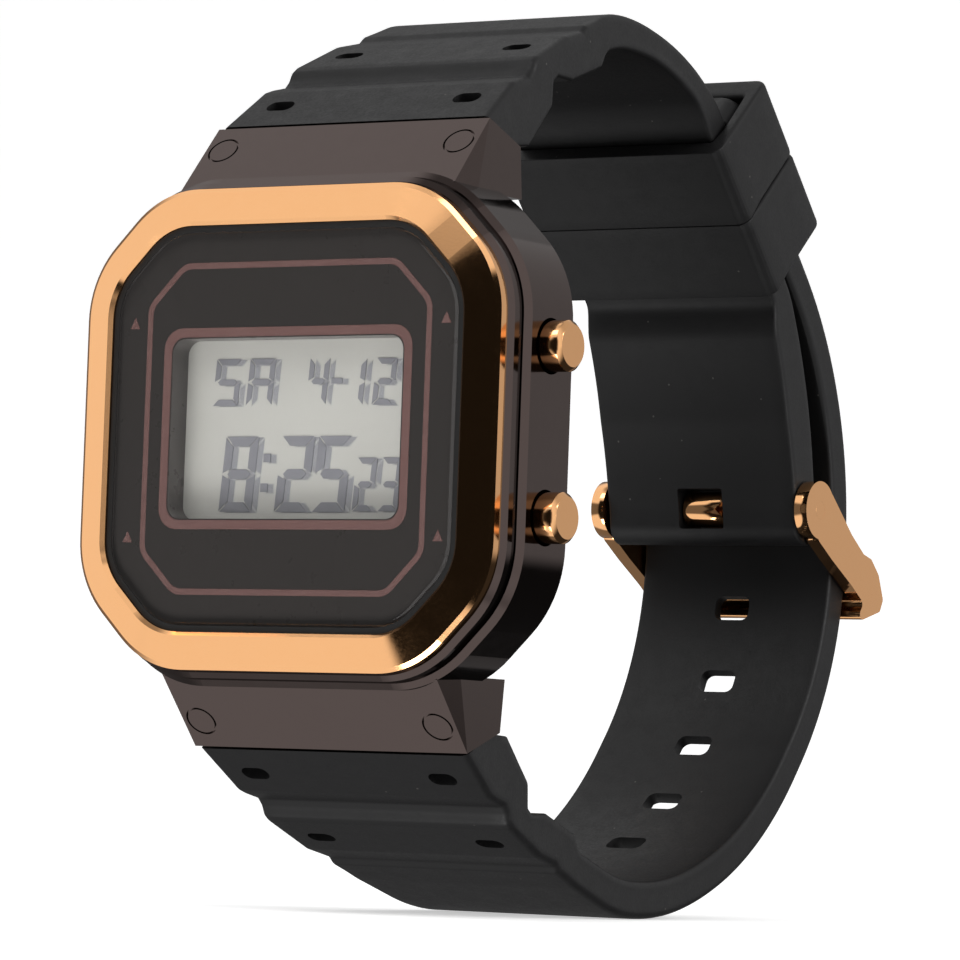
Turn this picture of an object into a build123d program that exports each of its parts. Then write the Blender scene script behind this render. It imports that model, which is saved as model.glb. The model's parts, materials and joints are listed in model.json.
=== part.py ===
from build123d import *
from math import acos, cos, hypot, radians, sin, sqrt, tan
import os

# A digital watch, buckled into its closed loop. Millimetres.
# X points to 3 o'clock, Z to 12 o'clock, and Y out of the case back, towards the wrist.
# The origin is the centre of the case back's outer face. A height is measured from that face
# towards the dial, so it runs along minus Y.

# Head of the watch
thickness = 12.0
side_wall = 5.8
end_wall = 6.0
case_corner_leg = 7.7
case_corner_round = 9.8
case_rear_height = 1.4
bezel_seat_height = 10.0
rear_edge_chamfer = 0.4
front_edge_chamfer = 0.45
front_rim_height = 8.4
front_rim_inset = 0.6
front_rim_chamfer = 0.5

# Bezel ring
bezel_side_rim = 1.0
bezel_end_rim = 1.2
bezel_corner_leg = 7.0
bezel_corner_round = 8.6
bezel_ring_width = 3.05
bezel_edge_height = 0.9
bezel_outer_bevel = 0.35
bezel_bevel_drop = 0.25
bezel_inner_bevel = 0.3

# Crystal, its gasket and the printed panel below it
crystal_thickness = 0.8
crystal_recess = 0.3
crystal_chamfer = 0.2
gasket_width = 0.5
gasket_height = 1.0
seat_gap = 0.03
panel_thickness = 0.4
panel_step = 1.7
window_width = 22.3
window_height = 14.6
window_round = 1.2
window_wall = 0.5
window_depth = 1.8

# Module
cavity_corner_leg = 5.8
corner_round = 1.0
lcd_side_margin = 1.35
lcd_end_margin = 1.5
lcd_thickness = 1.6
connector_end_inset = 1.0
connector_width = 1.2
connector_height = 1.0
backlight_side_inset = 1.3
backlight_end_inset = 1.7
lamp_size = 0.8
lamp_length = 1.4
frame_gap = 0.6
frame_side_wall = 2.0
frame_end_wall = 5.2
board_side_wall = 1.6
board_end_wall = 0.8
pocket_gap = 0.1
board_thickness = 0.8
chip_radius = 1.4
chip_height = 0.8
chip_corner_inset = (5.3, 3.0)
can_radius = 0.45
can_length = 5.0
can_corner_inset = (4.7, 2.0)
chip_band = 5.7
cell_end_gap = 0.7
cell_thickness = 1.6
contact_length = 6.0
contact_width = 2.2
contact_height = 0.3
clip_end_gap = 0.4
clip_width = 7.0
clip_thickness = 0.2
buzzer_radius = 5.5
buzzer_thickness = 0.25
buzzer_spring_inset = 2.0
buzzer_spring_offset = 3.7
buzzer_spring_radius = 0.8
buzzer_spring_wall = 0.25

# Case back
back_margin = 2.2
back_corner_leg = 5.1
back_corner_round = 2.0
back_flange = 1.0
back_raised_inset = 2.2
back_raised_height = 1.0
back_chamfer = 0.35
back_fit_gap = 0.1
seal_width = 0.9
seal_depth = 0.7
seal_inset = 0.3
screw_place_share = 0.79
screw_head_radius = 1.0
screw_head_height = 0.5
screw_shank_radius = 0.55
screw_length = 3.2
screw_slot_width = 0.3
screw_slot_depth = 0.25
fit_gap = 0.05

# Push buttons
button_height = 5.0
button_offset_z = 6.8
button_radius = 2.05
button_protrusion = 2.05
button_cap_length = 3.3
button_bevel = 0.35
button_travel = 0.9
button_bore_gap = 0.2
button_bore_depth = 3.4
stem_radius = 0.75
stem_tail = 0.85
spring_wall = 0.35
clip_radius = 1.35
clip_disc_thickness = 0.4
seal_ring_radius = 1.2
seal_ring_width = 0.6

# Lug hoods and spring bars
hood_width = 26.5
hood_foot_width = 27.3
hood_foot_height = 7.99
hood_foot_drop = 0.9
hood_tip_height = 3.0
hood_rise = 4.8
hood_plate = 1.5
hood_facet_inset = 0.33
hood_facet_depth = 2.95
hood_facet_reach = 1.2
ear_heel_depth = 1.6
ear_heel_rise = 3.0
ear_foot_drop = 1.3
ear_thickness = 2.6
hood_disc_radius = 1.4
hood_disc_depth = 0.18
hood_disc_x = 11.5
hood_disc_share = 0.645
bar_rise = 1.5
bar_depth = -1.2
bar_tube_radius = 0.9
bar_tube_wall = 0.3
bar_tube_end_gap = 0.35
bar_tip_radius = 0.45
bar_tip_length = 1.05
bar_plunger_length = 3.4
bar_tip_travel = 1.1

# Strap
strap_reach = 63.7
crown_height = 35.95
floor_depth = 37.1
root_thickness = 3.1
crown_thickness = 2.7
seat_thickness = 3.3
end_thickness = 4.0
end_tail = 1.2
swell_thickness = 5.4
tail_thickness = 3.2
strap_width = 19.5
rib_rise = 2.05
pad_depth = 4.5
ear_gap = 0.15
end_block_radius = 1.4
end_block_gap = 0.25
stack_gap = 0.2
dimple_x = (9.15, 8.3)
dimple_run = (3.5, 13.6)
dimple_floor = (-0.5, 0.85)
dimple_length = 2.6
dimple_width = 1.5
hole_width = 3.5
hole_length = 2.2
hole_round = 0.7
hole_pitch = 7.55
holes_below = 5
holes_above = 4
crossing_steps = 2000
channel_width = 7.0
channel_depth = 2.1
channel_margin = 3.2
tail_overlap = 7.7
tip_round = 1.5

# Keepers
keeper_width = 7.7
keeper_split = 0.15
keeper_start = 0.8
keeper_gap = 0.2
keeper_side_gap = 0.25
keeper_inner_wall = 1.6
keeper_outer_wall = 2.4
keeper_side_wall = 1.35
keeper_round = 1.1

# Buckle
pin_radius = 0.8
pin_gap = 0.05
buckle_side_gap = 0.2
buckle_arm = 1.25
eye_radius = 2.6
bar_top_rise = 3.55
bar_front_gap = 0.6
buckle_notch_depth = 0.3
buckle_corner_round = 0.5
barrel_radius = 1.6
barrel_width = 4.2
barrel_gap = 0.2
tongue_width = 2.9
tongue_thickness = 0.8
tongue_notch_depth = 0.9

cut = 5.0

# Shapes of the outlines, as shares of the sizes that they follow
upper_run_shares = ((0.290, 0.985), (0.3226, 1.0), (0.452, 1.0), (0.5846, 0.905),
                    (0.8223, 0.4537), (0.8838, 0.228), (0.905, -0.0584))
upper_round_shares = (0.88, 0.72, 0.31, 0.10, 0.85)
lower_run_shares = ((0.290, 0.935), (0.4137, 1.0), (0.727, 1.0), (1.0, 0.4394))
lower_round_shares = (0.40, 0.78, 0.40, 0.54)
rib_outline_shares = ((0.004, 0.08), (0.251, 0.62), (0.291, 0.58), (0.363, 0.42), (0.399, 0.60),
                      (0.426, 0.88), (0.453, 0.96), (0.694, 0.98), (0.824, 0.69), (0.859, 0.84),
                      (0.927, 0.79))
pad_outline_shares = ((0.275, 1.0), (0.410, 0.753), (0.492, 0.61), (0.534, 0.20), (0.574, 0.16),
                      (0.676, 0.41), (0.911, 0.54), (0.958, 0.375))
planform_shares = ((-0.060, 1.00), (0.024, 0.943), (0.086, 0.921), (0.173, 0.883), (0.298, 0.830),
                   (0.440, 0.785))
straight_share = 0.62
lower_lean_share = 0.033
buckle_upper_shares = ((0.14, 0.155), (0.49, -0.15), (0.68, -0.28), (0.80, -0.31), (0.92, -0.42),
                       (1.0, -0.60), (0.955, -0.69))
buckle_lower_shares = ((0.585, -0.79), (0.70, -0.64), (0.51, -0.52), (0.20, -0.35), (-0.03, -0.21))
tongue_line_shares = ((0.02, 0.085), (0.24, -0.065), (0.66, -0.145), (0.94, -0.35))
buckle_depth = 12.35

# Derived values
lcd_width = window_width + 2 * lcd_side_margin
lcd_height = window_height + 2 * lcd_end_margin
connector_length = lcd_width - 2 * connector_end_inset
backlight_width = lcd_width - 2 * backlight_side_inset
backlight_height = lcd_height - 2 * backlight_end_inset
cavity_width = lcd_width + 2 * (pocket_gap + frame_side_wall + frame_gap)
cavity_height = lcd_height + 2 * (pocket_gap + frame_end_wall + frame_gap)
board_width = cavity_width - 2 * (frame_gap + board_side_wall + pocket_gap)
board_height = cavity_height - 2 * (frame_gap + board_end_wall + pocket_gap)
cell_radius = (board_height - cell_end_gap - chip_band) / 2
cell_centre_z = board_height / 2 - cell_end_gap - cell_radius
clip_length = board_width - 2 * clip_end_gap
buzzer_spring_z = buzzer_spring_inset - board_height / 2
buzzer_centre_z = buzzer_spring_z + buzzer_spring_offset
back_width = cavity_width + 2 * back_margin
back_height = cavity_height + 2 * back_margin
case_width = cavity_width + 2 * side_wall
case_height = cavity_height + 2 * end_wall
half_case = case_width / 2
bezel_width = case_width - 2 * bezel_side_rim
bezel_height = case_height - 2 * bezel_end_rim
lcd_front = thickness - crystal_recess - crystal_thickness - panel_thickness - window_depth
board_front = lcd_front - lcd_thickness - connector_height
board_rear = board_front - board_thickness
cell_front = board_rear - contact_height
cell_rear = cell_front - cell_thickness
back_inner = back_raised_height + back_flange
crystal_rear = thickness - crystal_recess - crystal_thickness
panel_seat = crystal_rear - panel_thickness
ear_inner = hood_width / 2 - ear_thickness


def front_plane(height):
    """A plane parallel to the dial, with its normal pointing out of the dial."""
    return Plane.XZ.offset(height)


def cushion(width, height, leg, rounding):
    """A rectangle with cut corners, and every corner left by the cuts rounded."""
    w, h = width / 2, height / 2
    corners = [(w, h - leg), (w - leg, h), (leg - w, h), (-w, h - leg),
               (-w, leg - h), (leg - w, -h), (w - leg, -h), (w, leg - h)]
    outline = Polygon(*corners, align=None)
    return fillet(outline.vertices(), rounding)


def slab(face, low, high):
    """A flat piece between two heights above the case back."""
    return extrude(front_plane(low) * face, high - low)


def box_between(x, z, low, high):
    """A block given by its X range, its Z range and two heights."""
    face = Pos((x[0] + x[1]) / 2, (z[0] + z[1]) / 2) * Rectangle(x[1] - x[0], z[1] - z[0])
    return slab(face, low, high)


def rod(radius, x_from, x_to, y, z):
    """A round bar along X."""
    face = Plane(origin=(x_from, y, z), x_dir=(0, 1, 0), z_dir=(1, 0, 0)) * Circle(radius)
    return extrude(face, x_to - x_from)


def along(start, end, share):
    """A point between two points, given as a share of the way."""
    return (start[0] + (end[0] - start[0]) * share, start[1] + (end[1] - start[1]) * share)


def direction(start, end):
    """The unit vector from one point of the side view to another."""
    length = hypot(end[0] - start[0], end[1] - start[1])
    return ((end[0] - start[0]) / length, (end[1] - start[1]) / length)


def shifted(point, way, distance):
    """A point of the side view moved along a unit vector."""
    return (point[0] + way[0] * distance, point[1] + way[1] * distance)


def crossing(point, way, other, other_way):
    """Where two lines of the side view meet."""
    det = way[0] * other_way[1] - way[1] * other_way[0]
    gap = (other[0] - point[0], other[1] - point[1])
    return shifted(point, way, (gap[0] * other_way[1] - gap[1] * other_way[0]) / det)


# Points of the side view, as (depth behind the case back, height towards 12 o'clock)
hood_foot = (-hood_foot_height, case_height / 2 - hood_foot_drop)
hood_tip = (-hood_tip_height, case_height / 2 + hood_rise)
ear_heel = (ear_heel_depth, case_height / 2 + ear_heel_rise)
ear_foot_z = case_height / 2 - ear_foot_drop
bar_centre = (bar_depth, case_height / 2 + bar_rise)


class Run:
    """A route of straight stretches and tangent arcs through rounded corners."""

    def __init__(self, points, round_shares):
        self.pieces = []
        ways = [direction(a, b) for a, b in zip(points, points[1:])]
        lengths = [hypot(b[0] - a[0], b[1] - a[1]) for a, b in zip(points, points[1:])]
        start = points[0]
        for i, share in enumerate(round_shares):
            tangent = share * min(lengths[i], lengths[i + 1])
            turn = acos(ways[i][0] * ways[i + 1][0] + ways[i][1] * ways[i + 1][1])
            radius = tangent / tan(turn / 2)
            side = 1 if ways[i][0] * ways[i + 1][1] > ways[i][1] * ways[i + 1][0] else -1
            enter = shifted(points[i + 1], ways[i], -tangent)
            self.add_line(start, enter, ways[i])
            normal = (-ways[i][1] * side, ways[i][0] * side)
            centre = shifted(enter, normal, radius)
            self.pieces.append(("arc", enter, ways[i], radius * turn, radius, side, centre))
            start = shifted(points[i + 1], ways[i + 1], tangent)
        self.add_line(start, points[-1], ways[-1])
        self.length = sum(piece[3] for piece in self.pieces)

    def add_line(self, start, end, way):
        length = hypot(end[0] - start[0], end[1] - start[1])
        self.pieces.append(("line", start, way, length, 0.0, 0, start))

    def at(self, distance):
        """The point and the heading at a distance from the start."""
        for kind, start, way, length, radius, side, centre in self.pieces:
            if distance <= length or (kind, start) == (self.pieces[-1][0], self.pieces[-1][1]):
                if kind == "line":
                    return shifted(start, way, distance), way
                angle = side * distance / radius
                turned = (way[0] * cos(angle) - way[1] * sin(angle),
                          way[0] * sin(angle) + way[1] * cos(angle))
                outward = (turned[1] * side, -turned[0] * side)
                return shifted(centre, outward, radius), turned
            distance -= length

    def beside(self, distance, offset):
        """The point at a distance from the start, moved to the left of the heading."""
        point, way = self.at(distance)
        return shifted(point, (-way[1], way[0]), offset)

    def edges(self, offset_at, first=0.0, last=None):
        """The edges of the line that runs beside the route at a varying offset."""
        result = []
        start = 0.0
        last = last or self.length
        for kind, _, _, length, _, _, _ in self.pieces:
            low, high = max(start, first), min(start + length, last)
            marks = (low, (low + high) / 2, high)
            start += length
            if low < high:
                ends = [self.beside(mark, offset_at(mark / self.length)) for mark in marks]
                result.append(Line(ends[0], ends[2]) if kind == "line" else ThreePointArc(*ends))
        return result


def blend(stops, share):
    """The value at a share of the way through a list of (share, value) stops."""
    for (low, a), (high, b) in zip(stops, stops[1:]):
        if share <= high:
            return a + (b - a) * (share - low) / (high - low)
    return stops[-1][1]


def upper_run():
    """The middle line of the 12 o'clock half, from its ribs to the buckle pin."""
    points = [(y * strap_reach, z * crown_height) for y, z in upper_run_shares]
    return Run(points, upper_round_shares)


upper = upper_run()
seat_start = upper.at(upper.length - sum(piece[3] for piece in upper.pieces[6:]))[0]
seat_way = upper.pieces[6][2]
seat_out = (-seat_way[1], seat_way[0])
pin_centre = upper.at(upper.length)[0]
stack = seat_thickness / 2 + stack_gap + tail_thickness / 2


def lower_run():
    """The middle line of the 6 o'clock half, from its ribs to its tip inside the keepers."""
    points = [(y * strap_reach, -z * floor_depth) for y, z in lower_run_shares]
    seat = shifted(seat_start, seat_out, stack)
    bend = crossing(points[-1], direction((0.0, 0.0), (lower_lean_share, 1.0)), seat, seat_way)
    tip = shifted(seat, seat_way, keeper_start + keeper_width - tail_overlap)
    return Run(points + [bend, tip], lower_round_shares)


lower = lower_run()


def sheet(lines):
    """A face of the side view, bounded by a closed row of lines."""
    return Plane.YZ * make_face([edge for line in lines for edge in line.edges()])


def side_solid(lines, half_width):
    """A piece with the same side view across its whole width."""
    return extrude(sheet(lines), half_width, both=True)


def case_outline(inset):
    """The case's outline, drawn in by a distance."""
    leg = case_corner_leg - inset * (2 - sqrt(2))
    return cushion(case_width - 2 * inset, case_height - 2 * inset, leg, case_corner_round - inset)


def bezel_opening(gap):
    """The bezel's inner outline, made smaller by a gap."""
    inset = bezel_ring_width + gap
    leg = bezel_corner_leg - inset * (2 - sqrt(2))
    rounding = max(bezel_corner_round - inset, corner_round)
    return cushion(bezel_width - 2 * inset, bezel_height - 2 * inset, leg, rounding)


def mirrored_pair(piece):
    """A piece and its mirror image across the 3 to 9 o'clock line."""
    return piece + mirror(piece, Plane.XY)


def lug_hoods():
    """The sloping hood over each strap end, with an ear at each side for the spring bar."""
    way = direction(hood_foot, hood_tip)
    inward = (way[1], -way[0])
    inner_tip = shifted(hood_tip, inward, hood_plate)
    inner_foot = shifted(hood_foot, inward, hood_plate)
    plate_points = (hood_foot, hood_tip, inner_tip, inner_foot)
    plate = side_solid([Polyline(*plate_points, close=True)], hood_foot_width / 2)
    ear_points = (hood_foot, hood_tip, ear_heel, (ear_heel_depth, ear_foot_z),
                  (-case_rear_height, ear_foot_z - rear_edge_chamfer))
    ears = side_solid([Polyline(*ear_points, close=True)], hood_foot_width / 2)
    ears -= side_solid([Polyline(*ear_points, close=True)], ear_inner)
    foot, tip = hood_foot_width / 2, hood_width / 2
    corners = ((foot, ear_foot_z), (tip, hood_tip[1]), (-tip, hood_tip[1]), (-foot, ear_foot_z))
    hood = (plate + ears) & slab(make_face(Polyline(*corners, close=True)), -cut, thickness)
    for side in (-1, 1):
        hood -= corner_facet(side)
    reach = ear_inner + bar_tip_length + bar_tip_length / 2
    hood -= rod(bar_tip_radius + fit_gap, -reach, reach, *bar_centre)
    spot = along(hood_foot, hood_tip, hood_disc_share)
    for side in (-1, 1):
        face = Plane(origin=(side * hood_disc_x, *spot), x_dir=(1, 0, 0), z_dir=(0, inward[0], inward[1]))
        ring = Circle(hood_disc_radius) - Circle(hood_disc_radius - hood_disc_depth)
        hood -= extrude(face * ring, hood_disc_depth)
    return mirrored_pair(hood)


def corner_facet(side):
    """The wedge cut off a hood's front corner, from nothing at its tip to widest at the case."""
    edge = side * hood_foot_width / 2
    tip = Vector(side * hood_width / 2, *hood_tip)
    front = Vector(edge - side * hood_facet_inset, *hood_foot)
    flank = Vector(edge, hood_foot[0] + hood_facet_depth, ear_foot_z)
    ends = [tip + (point - tip) * hood_facet_reach for point in (front, flank)]
    return extrude(make_face(Polyline(tip, *ends, close=True)), ear_thickness, dir=(side, -1, 0))


def button_frames():
    """The side and the Z place of each of the four push buttons."""
    for name, side in (("right", 1), ("left", -1)):
        for level, z in (("upper", button_offset_z), ("lower", -button_offset_z)):
            yield name + "_" + level, side, z


def button_rod(radius, side, near, far, z):
    """A round bar on a push button's axis, between two distances from the middle of the watch."""
    low, high = sorted((side * near, side * far))
    return rod(radius, low, high, -button_height, z)


def case_middle():
    """The plated case: side walls, bezel seat, panel collar, lug hoods and the module's cavity."""
    body = slab(case_outline(0), case_rear_height, front_rim_height)
    body = chamfer(body.faces().sort_by(Axis.Y)[0].edges(), front_rim_chamfer)
    body = chamfer(body.faces().sort_by(Axis.Y)[-1].edges(), rear_edge_chamfer)
    rim = slab(case_outline(front_rim_inset), front_rim_height - front_edge_chamfer, bezel_seat_height)
    body += chamfer(rim.faces().sort_by(Axis.Y)[0].edges(), front_edge_chamfer)
    body += slab(bezel_opening(fit_gap), bezel_seat_height, panel_seat)
    body += lug_hoods()
    cavity = cushion(cavity_width, cavity_height, cavity_corner_leg, corner_round)
    body -= slab(cavity, 0, panel_seat - panel_step)
    body -= slab(panel_hole(), 0, thickness)
    body -= slab(back_outline(back_fit_gap), 0, back_inner)
    body -= slab(seal_groove(), back_inner, back_inner + seal_depth)
    for x, z in screw_places():
        body -= slab(Pos(x, z) * Circle(screw_shank_radius + fit_gap), 0, back_inner + screw_length)
    for _, side, z in button_frames():
        bore_floor = half_case - button_bore_depth
        body -= button_rod(button_radius + button_bore_gap, side, bore_floor, half_case + cut, z)
        body -= button_rod(stem_radius + fit_gap, side, cavity_width / 2 - cut, half_case, z)
        seal_from = bore_floor - 2 * seal_ring_width
        body -= button_rod(seal_ring_radius, side, seal_from, seal_from + seal_ring_width, z)
    return body


def panel_hole():
    """The opening in the front wall that the display window hangs through."""
    return RectangleRounded(window_width + 2 * (window_wall + pocket_gap),
                            window_height + 2 * (window_wall + pocket_gap), window_round + window_wall)


def bezel():
    """The polished ring: a sloping section swept round the cushion outline."""
    outline = cushion(bezel_width, bezel_height, bezel_corner_leg, bezel_corner_round)
    path = (front_plane(bezel_seat_height) * outline).wires()[0]
    start, way = path @ 0, path % 0
    inward = Vector(0, -1, 0).cross(way)
    if inward.dot(start) > 0:
        way, inward = way * -1, inward * -1
    rise = thickness - bezel_seat_height
    lip = bezel_ring_width - bezel_inner_bevel
    profile = Polyline((lip, rise), (bezel_ring_width, rise - bezel_inner_bevel), (bezel_ring_width, 0),
                       (0, 0), (0, bezel_edge_height),
                       (bezel_outer_bevel, bezel_edge_height + bezel_bevel_drop), close=True)
    section = Plane(origin=start, x_dir=inward, z_dir=way) * make_face(profile)
    return sweep(section, path)


def crystal():
    """The flat mineral glass with a bevelled edge."""
    glass = slab(bezel_opening(gasket_width + 2 * seat_gap), crystal_rear, crystal_rear + crystal_thickness)
    return chamfer(glass.faces().sort_by(Axis.Y)[0].edges(), crystal_chamfer)


def crystal_gasket():
    """The black ring between the glass and the bezel."""
    ring = bezel_opening(seat_gap) - bezel_opening(gasket_width + seat_gap)
    return slab(ring, panel_seat, panel_seat + gasket_height)


def face_panel():
    """The printed panel under the glass, with the display window's walls behind it."""
    plate = slab(bezel_opening(gasket_width + 2 * seat_gap), panel_seat, crystal_rear)
    walls = RectangleRounded(window_width + 2 * window_wall, window_height + 2 * window_wall,
                             window_round + window_wall)
    plate += slab(walls, panel_seat - window_depth, panel_seat)
    return plate - slab(RectangleRounded(window_width, window_height, window_round), 0, thickness)


def lcd_cell():
    return slab(Rectangle(lcd_width, lcd_height), lcd_front - lcd_thickness, lcd_front)


def connector_z():
    """The Z place of the rubber connectors, under the display's top and bottom edges."""
    return (lcd_height - connector_width) / 2 - pocket_gap


def lcd_connector(side):
    x = connector_length / 2
    middle = side * connector_z()
    z = (middle - connector_width / 2, middle + connector_width / 2)
    return box_between((-x, x), z, board_front, board_front + connector_height)


def backlight_panel():
    return slab(Rectangle(backlight_width, backlight_height), board_front, board_front + connector_height)


def backlight_lamp():
    """The small lamp that lights the panel's edge from the board."""
    x = (-backlight_width / 2 - lamp_size, -backlight_width / 2)
    return box_between(x, (-lamp_length / 2, lamp_length / 2), board_front, board_front + lamp_size)


def module_frame():
    """The moulded frame that holds the display, the board and the cell."""
    width = cavity_width - 2 * frame_gap
    height = cavity_height - 2 * frame_gap
    outline = cushion(width, height, cavity_corner_leg, corner_round)
    frame = slab(outline, back_inner + pocket_gap, lcd_front)
    frame -= slab(Rectangle(lcd_width + 2 * pocket_gap, lcd_height + 2 * pocket_gap),
                  lcd_front - lcd_thickness, thickness)
    shelf = 2 * lamp_size
    frame -= slab(Rectangle(lcd_width - shelf / 2, lcd_height - pocket_gap), 0, thickness)
    frame -= slab(board_outline(pocket_gap), 0, board_front)
    notch = clip_radius + pocket_gap * 3
    for _, side, z in button_frames():
        x = sorted((side * (board_width / 2 + pocket_gap * 2), side * half_case))
        frame -= box_between(x, (z - notch, z + notch), 0, button_height + notch)
    return frame


def board_outline(gap):
    return cushion(board_width + 2 * gap, board_height + 2 * gap, cavity_corner_leg, corner_round)


def circuit_board():
    return slab(board_outline(0), board_rear, board_front)


def clock_chip():
    """The resin drop over the watch chip, behind the board."""
    x, z = board_width / 2 - chip_corner_inset[0], chip_corner_inset[1] - board_height / 2
    return slab(Pos(x, z) * Circle(chip_radius), board_rear - chip_height, board_rear)


def quartz_can():
    """The quartz resonator's can, lying on the back of the board."""
    x, z = can_corner_inset[0] - board_width / 2, can_corner_inset[1] - board_height / 2
    return rod(can_radius, x, x + can_length, can_radius - board_rear, z)


def coin_cell():
    """The lithium cell with its stepped edge."""
    step = cell_thickness / 4
    low = slab(Pos(0, cell_centre_z) * Circle(cell_radius), cell_rear, cell_front - step)
    return low + slab(Pos(0, cell_centre_z) * Circle(cell_radius - 2 * step), cell_front - step, cell_front)


def cell_contact():
    x, z = contact_length / 2, contact_width / 2
    return box_between((-x, x), (cell_centre_z - z, cell_centre_z + z), cell_front, board_rear)


def battery_clip():
    """The sprung plate across the cell, with a tab at each end beside the board."""
    x, z = clip_length / 2, clip_width / 2
    low = cell_rear - clip_thickness
    z_range = (cell_centre_z - z, cell_centre_z + z)
    clip = box_between((-x, x), z_range, low, cell_rear)
    for side in (-1, 1):
        tab = sorted((side * (x - clip_thickness), side * x))
        clip += box_between(tab, z_range, low, board_rear)
    return clip


def buzzer_disc():
    """The piezo disc bonded to the inside of the case back."""
    return slab(Pos(0, buzzer_centre_z) * Circle(buzzer_radius), back_inner, back_inner + buzzer_thickness)


def buzzer_spring():
    """The contact spring from the board to the buzzer, drawn as a sleeve."""
    ring = Circle(buzzer_spring_radius) - Circle(buzzer_spring_radius - buzzer_spring_wall)
    return slab(Pos(0, buzzer_spring_z) * ring, back_inner + buzzer_thickness, board_rear)


def back_outline(gap):
    return cushion(back_width + 2 * gap, back_height + 2 * gap, back_corner_leg, back_corner_round)


def seal_line(inset):
    """An outline round the cavity, a given distance outside it."""
    leg = cavity_corner_leg + inset * (2 - sqrt(2))
    return cushion(cavity_width + 2 * inset, cavity_height + 2 * inset, leg, corner_round + inset)


def seal_groove():
    return seal_line(seal_inset + seal_width) - seal_line(seal_inset)


def back_gasket():
    ring = seal_line(seal_inset + seal_width - seat_gap) - seal_line(seal_inset + seat_gap)
    return slab(ring, back_inner, back_inner + seal_depth - seat_gap)


def screw_places():
    """The corners of the case back that its screws stand in."""
    x, z = back_width / 2 * screw_place_share, back_height / 2 * screw_place_share
    return [(x, z), (x, -z), (-x, z), (-x, -z)]


def case_back():
    """The steel back: a flange in the case, and the raised face that lies on the wrist."""
    plate = slab(back_outline(0), back_raised_height, back_inner)
    raised = cushion(back_width - 2 * back_raised_inset, back_height - 2 * back_raised_inset,
                     back_corner_leg * 2, back_corner_round)
    plate += slab(raised, 0, back_raised_height)
    plate = chamfer(plate.faces().sort_by(Axis.Y)[-1].edges(), back_chamfer)
    for x, z in screw_places():
        place = Pos(x, z)
        recess = back_raised_height + screw_head_height
        plate -= slab(place * Circle(screw_shank_radius + fit_gap), 0, thickness)
        plate -= slab(place * Circle(screw_head_radius + fit_gap), 0, recess)
    return plate


def back_screws():
    """Four slotted screws that hold the case back."""
    screws = []
    for x, z in screw_places():
        place = Pos(x, z)
        head_top = back_raised_height + screw_head_height
        screw = slab(place * Circle(screw_head_radius), back_raised_height, head_top)
        screw += slab(place * Circle(screw_shank_radius), head_top, back_inner + screw_length)
        slot = Rectangle(2 * screw_head_radius, screw_slot_width)
        screws.append(screw - slab(place * slot, back_raised_height, back_raised_height + screw_slot_depth))
    return Compound(screws)


def push_button(side, z):
    """A push button: bevelled cap, and a stem that passes through the case wall."""
    face = half_case + button_protrusion
    cap_end = face - button_cap_length
    cap = button_rod(button_radius, side, cap_end, face, z)
    outer = cap.faces().sort_by(Axis.X)[-1 if side > 0 else 0]
    cap = chamfer(outer.edges(), button_bevel)
    return cap + button_rod(stem_radius, side, cavity_width / 2 - stem_tail, cap_end, z)


def return_spring(side, z):
    """The button's return spring between cap and bore floor, drawn as a sleeve."""
    near = half_case - button_bore_depth
    far = half_case + button_protrusion - button_cap_length
    inner = stem_radius + spring_wall
    outer = inner + spring_wall
    return button_rod(outer, side, near, far, z) - button_rod(inner, side, near, far, z)


def retaining_clip(side, z):
    """The disc on the stem that stops the button at the cavity wall."""
    far = cavity_width / 2 - fit_gap
    near = far - clip_disc_thickness
    return button_rod(clip_radius, side, near, far, z) - button_rod(stem_radius, side, near, far, z)


def stem_seal(side, z):
    """The rubber ring in the case wall round the button's stem."""
    near = half_case - button_bore_depth - 2 * seal_ring_width + seat_gap
    far = near + seal_ring_width - 2 * seat_gap
    outer = button_rod(seal_ring_radius - seat_gap, side, near, far, z)
    return outer - button_rod(stem_radius + seat_gap, side, near, far, z)


def bar_tube(side):
    """The tube of a strap's spring bar."""
    half = ear_inner - bar_tube_end_gap
    y, z = bar_centre[0], side * bar_centre[1]
    tube = rod(bar_tube_radius, -half, half, y, z)
    return tube - rod(bar_tube_radius - bar_tube_wall, -half, half, y, z)


def bar_tip(side, end):
    """A sprung end of a spring bar: a plunger in the tube and a pivot in the ear."""
    y, z = bar_centre[0], side * bar_centre[1]
    mouth = ear_inner - bar_tube_end_gap
    inner = sorted((end * (mouth - bar_plunger_length), end * mouth))
    plunger = rod(bar_tube_radius - bar_tube_wall - fit_gap, *inner, y, z)
    outer = sorted((end * mouth, end * (ear_inner + bar_tip_length)))
    return plunger + rod(bar_tip_radius, *outer, y, z)


def bar_coil(side):
    """The spring inside a spring bar, drawn as a rod at its pressed length."""
    half = ear_inner - bar_tube_end_gap - bar_plunger_length - bar_tip_travel - fit_gap
    y, z = bar_centre[0], side * bar_centre[1]
    return rod(bar_tube_radius - bar_tube_wall - fit_gap, -half, half, y, z)


def root_frame(run):
    """The hood's edge, and the directions along and out of the ribs that start there."""
    end = run.at(0)[0]
    flip = 1 if end[1] > 0 else -1
    start = (hood_tip[0], flip * hood_tip[1])
    way = direction(start, end)
    return start, way, (-way[1] * flip, way[0] * flip), hypot(end[0] - start[0], end[1] - start[1])


def root_points(run, shares, depth):
    """Points of the ribbed stretch, given as shares of its length and of a depth."""
    start, way, out, length = root_frame(run)
    return [shifted(shifted(start, way, u * length), out, v * depth) for u, v in shares]


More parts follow.
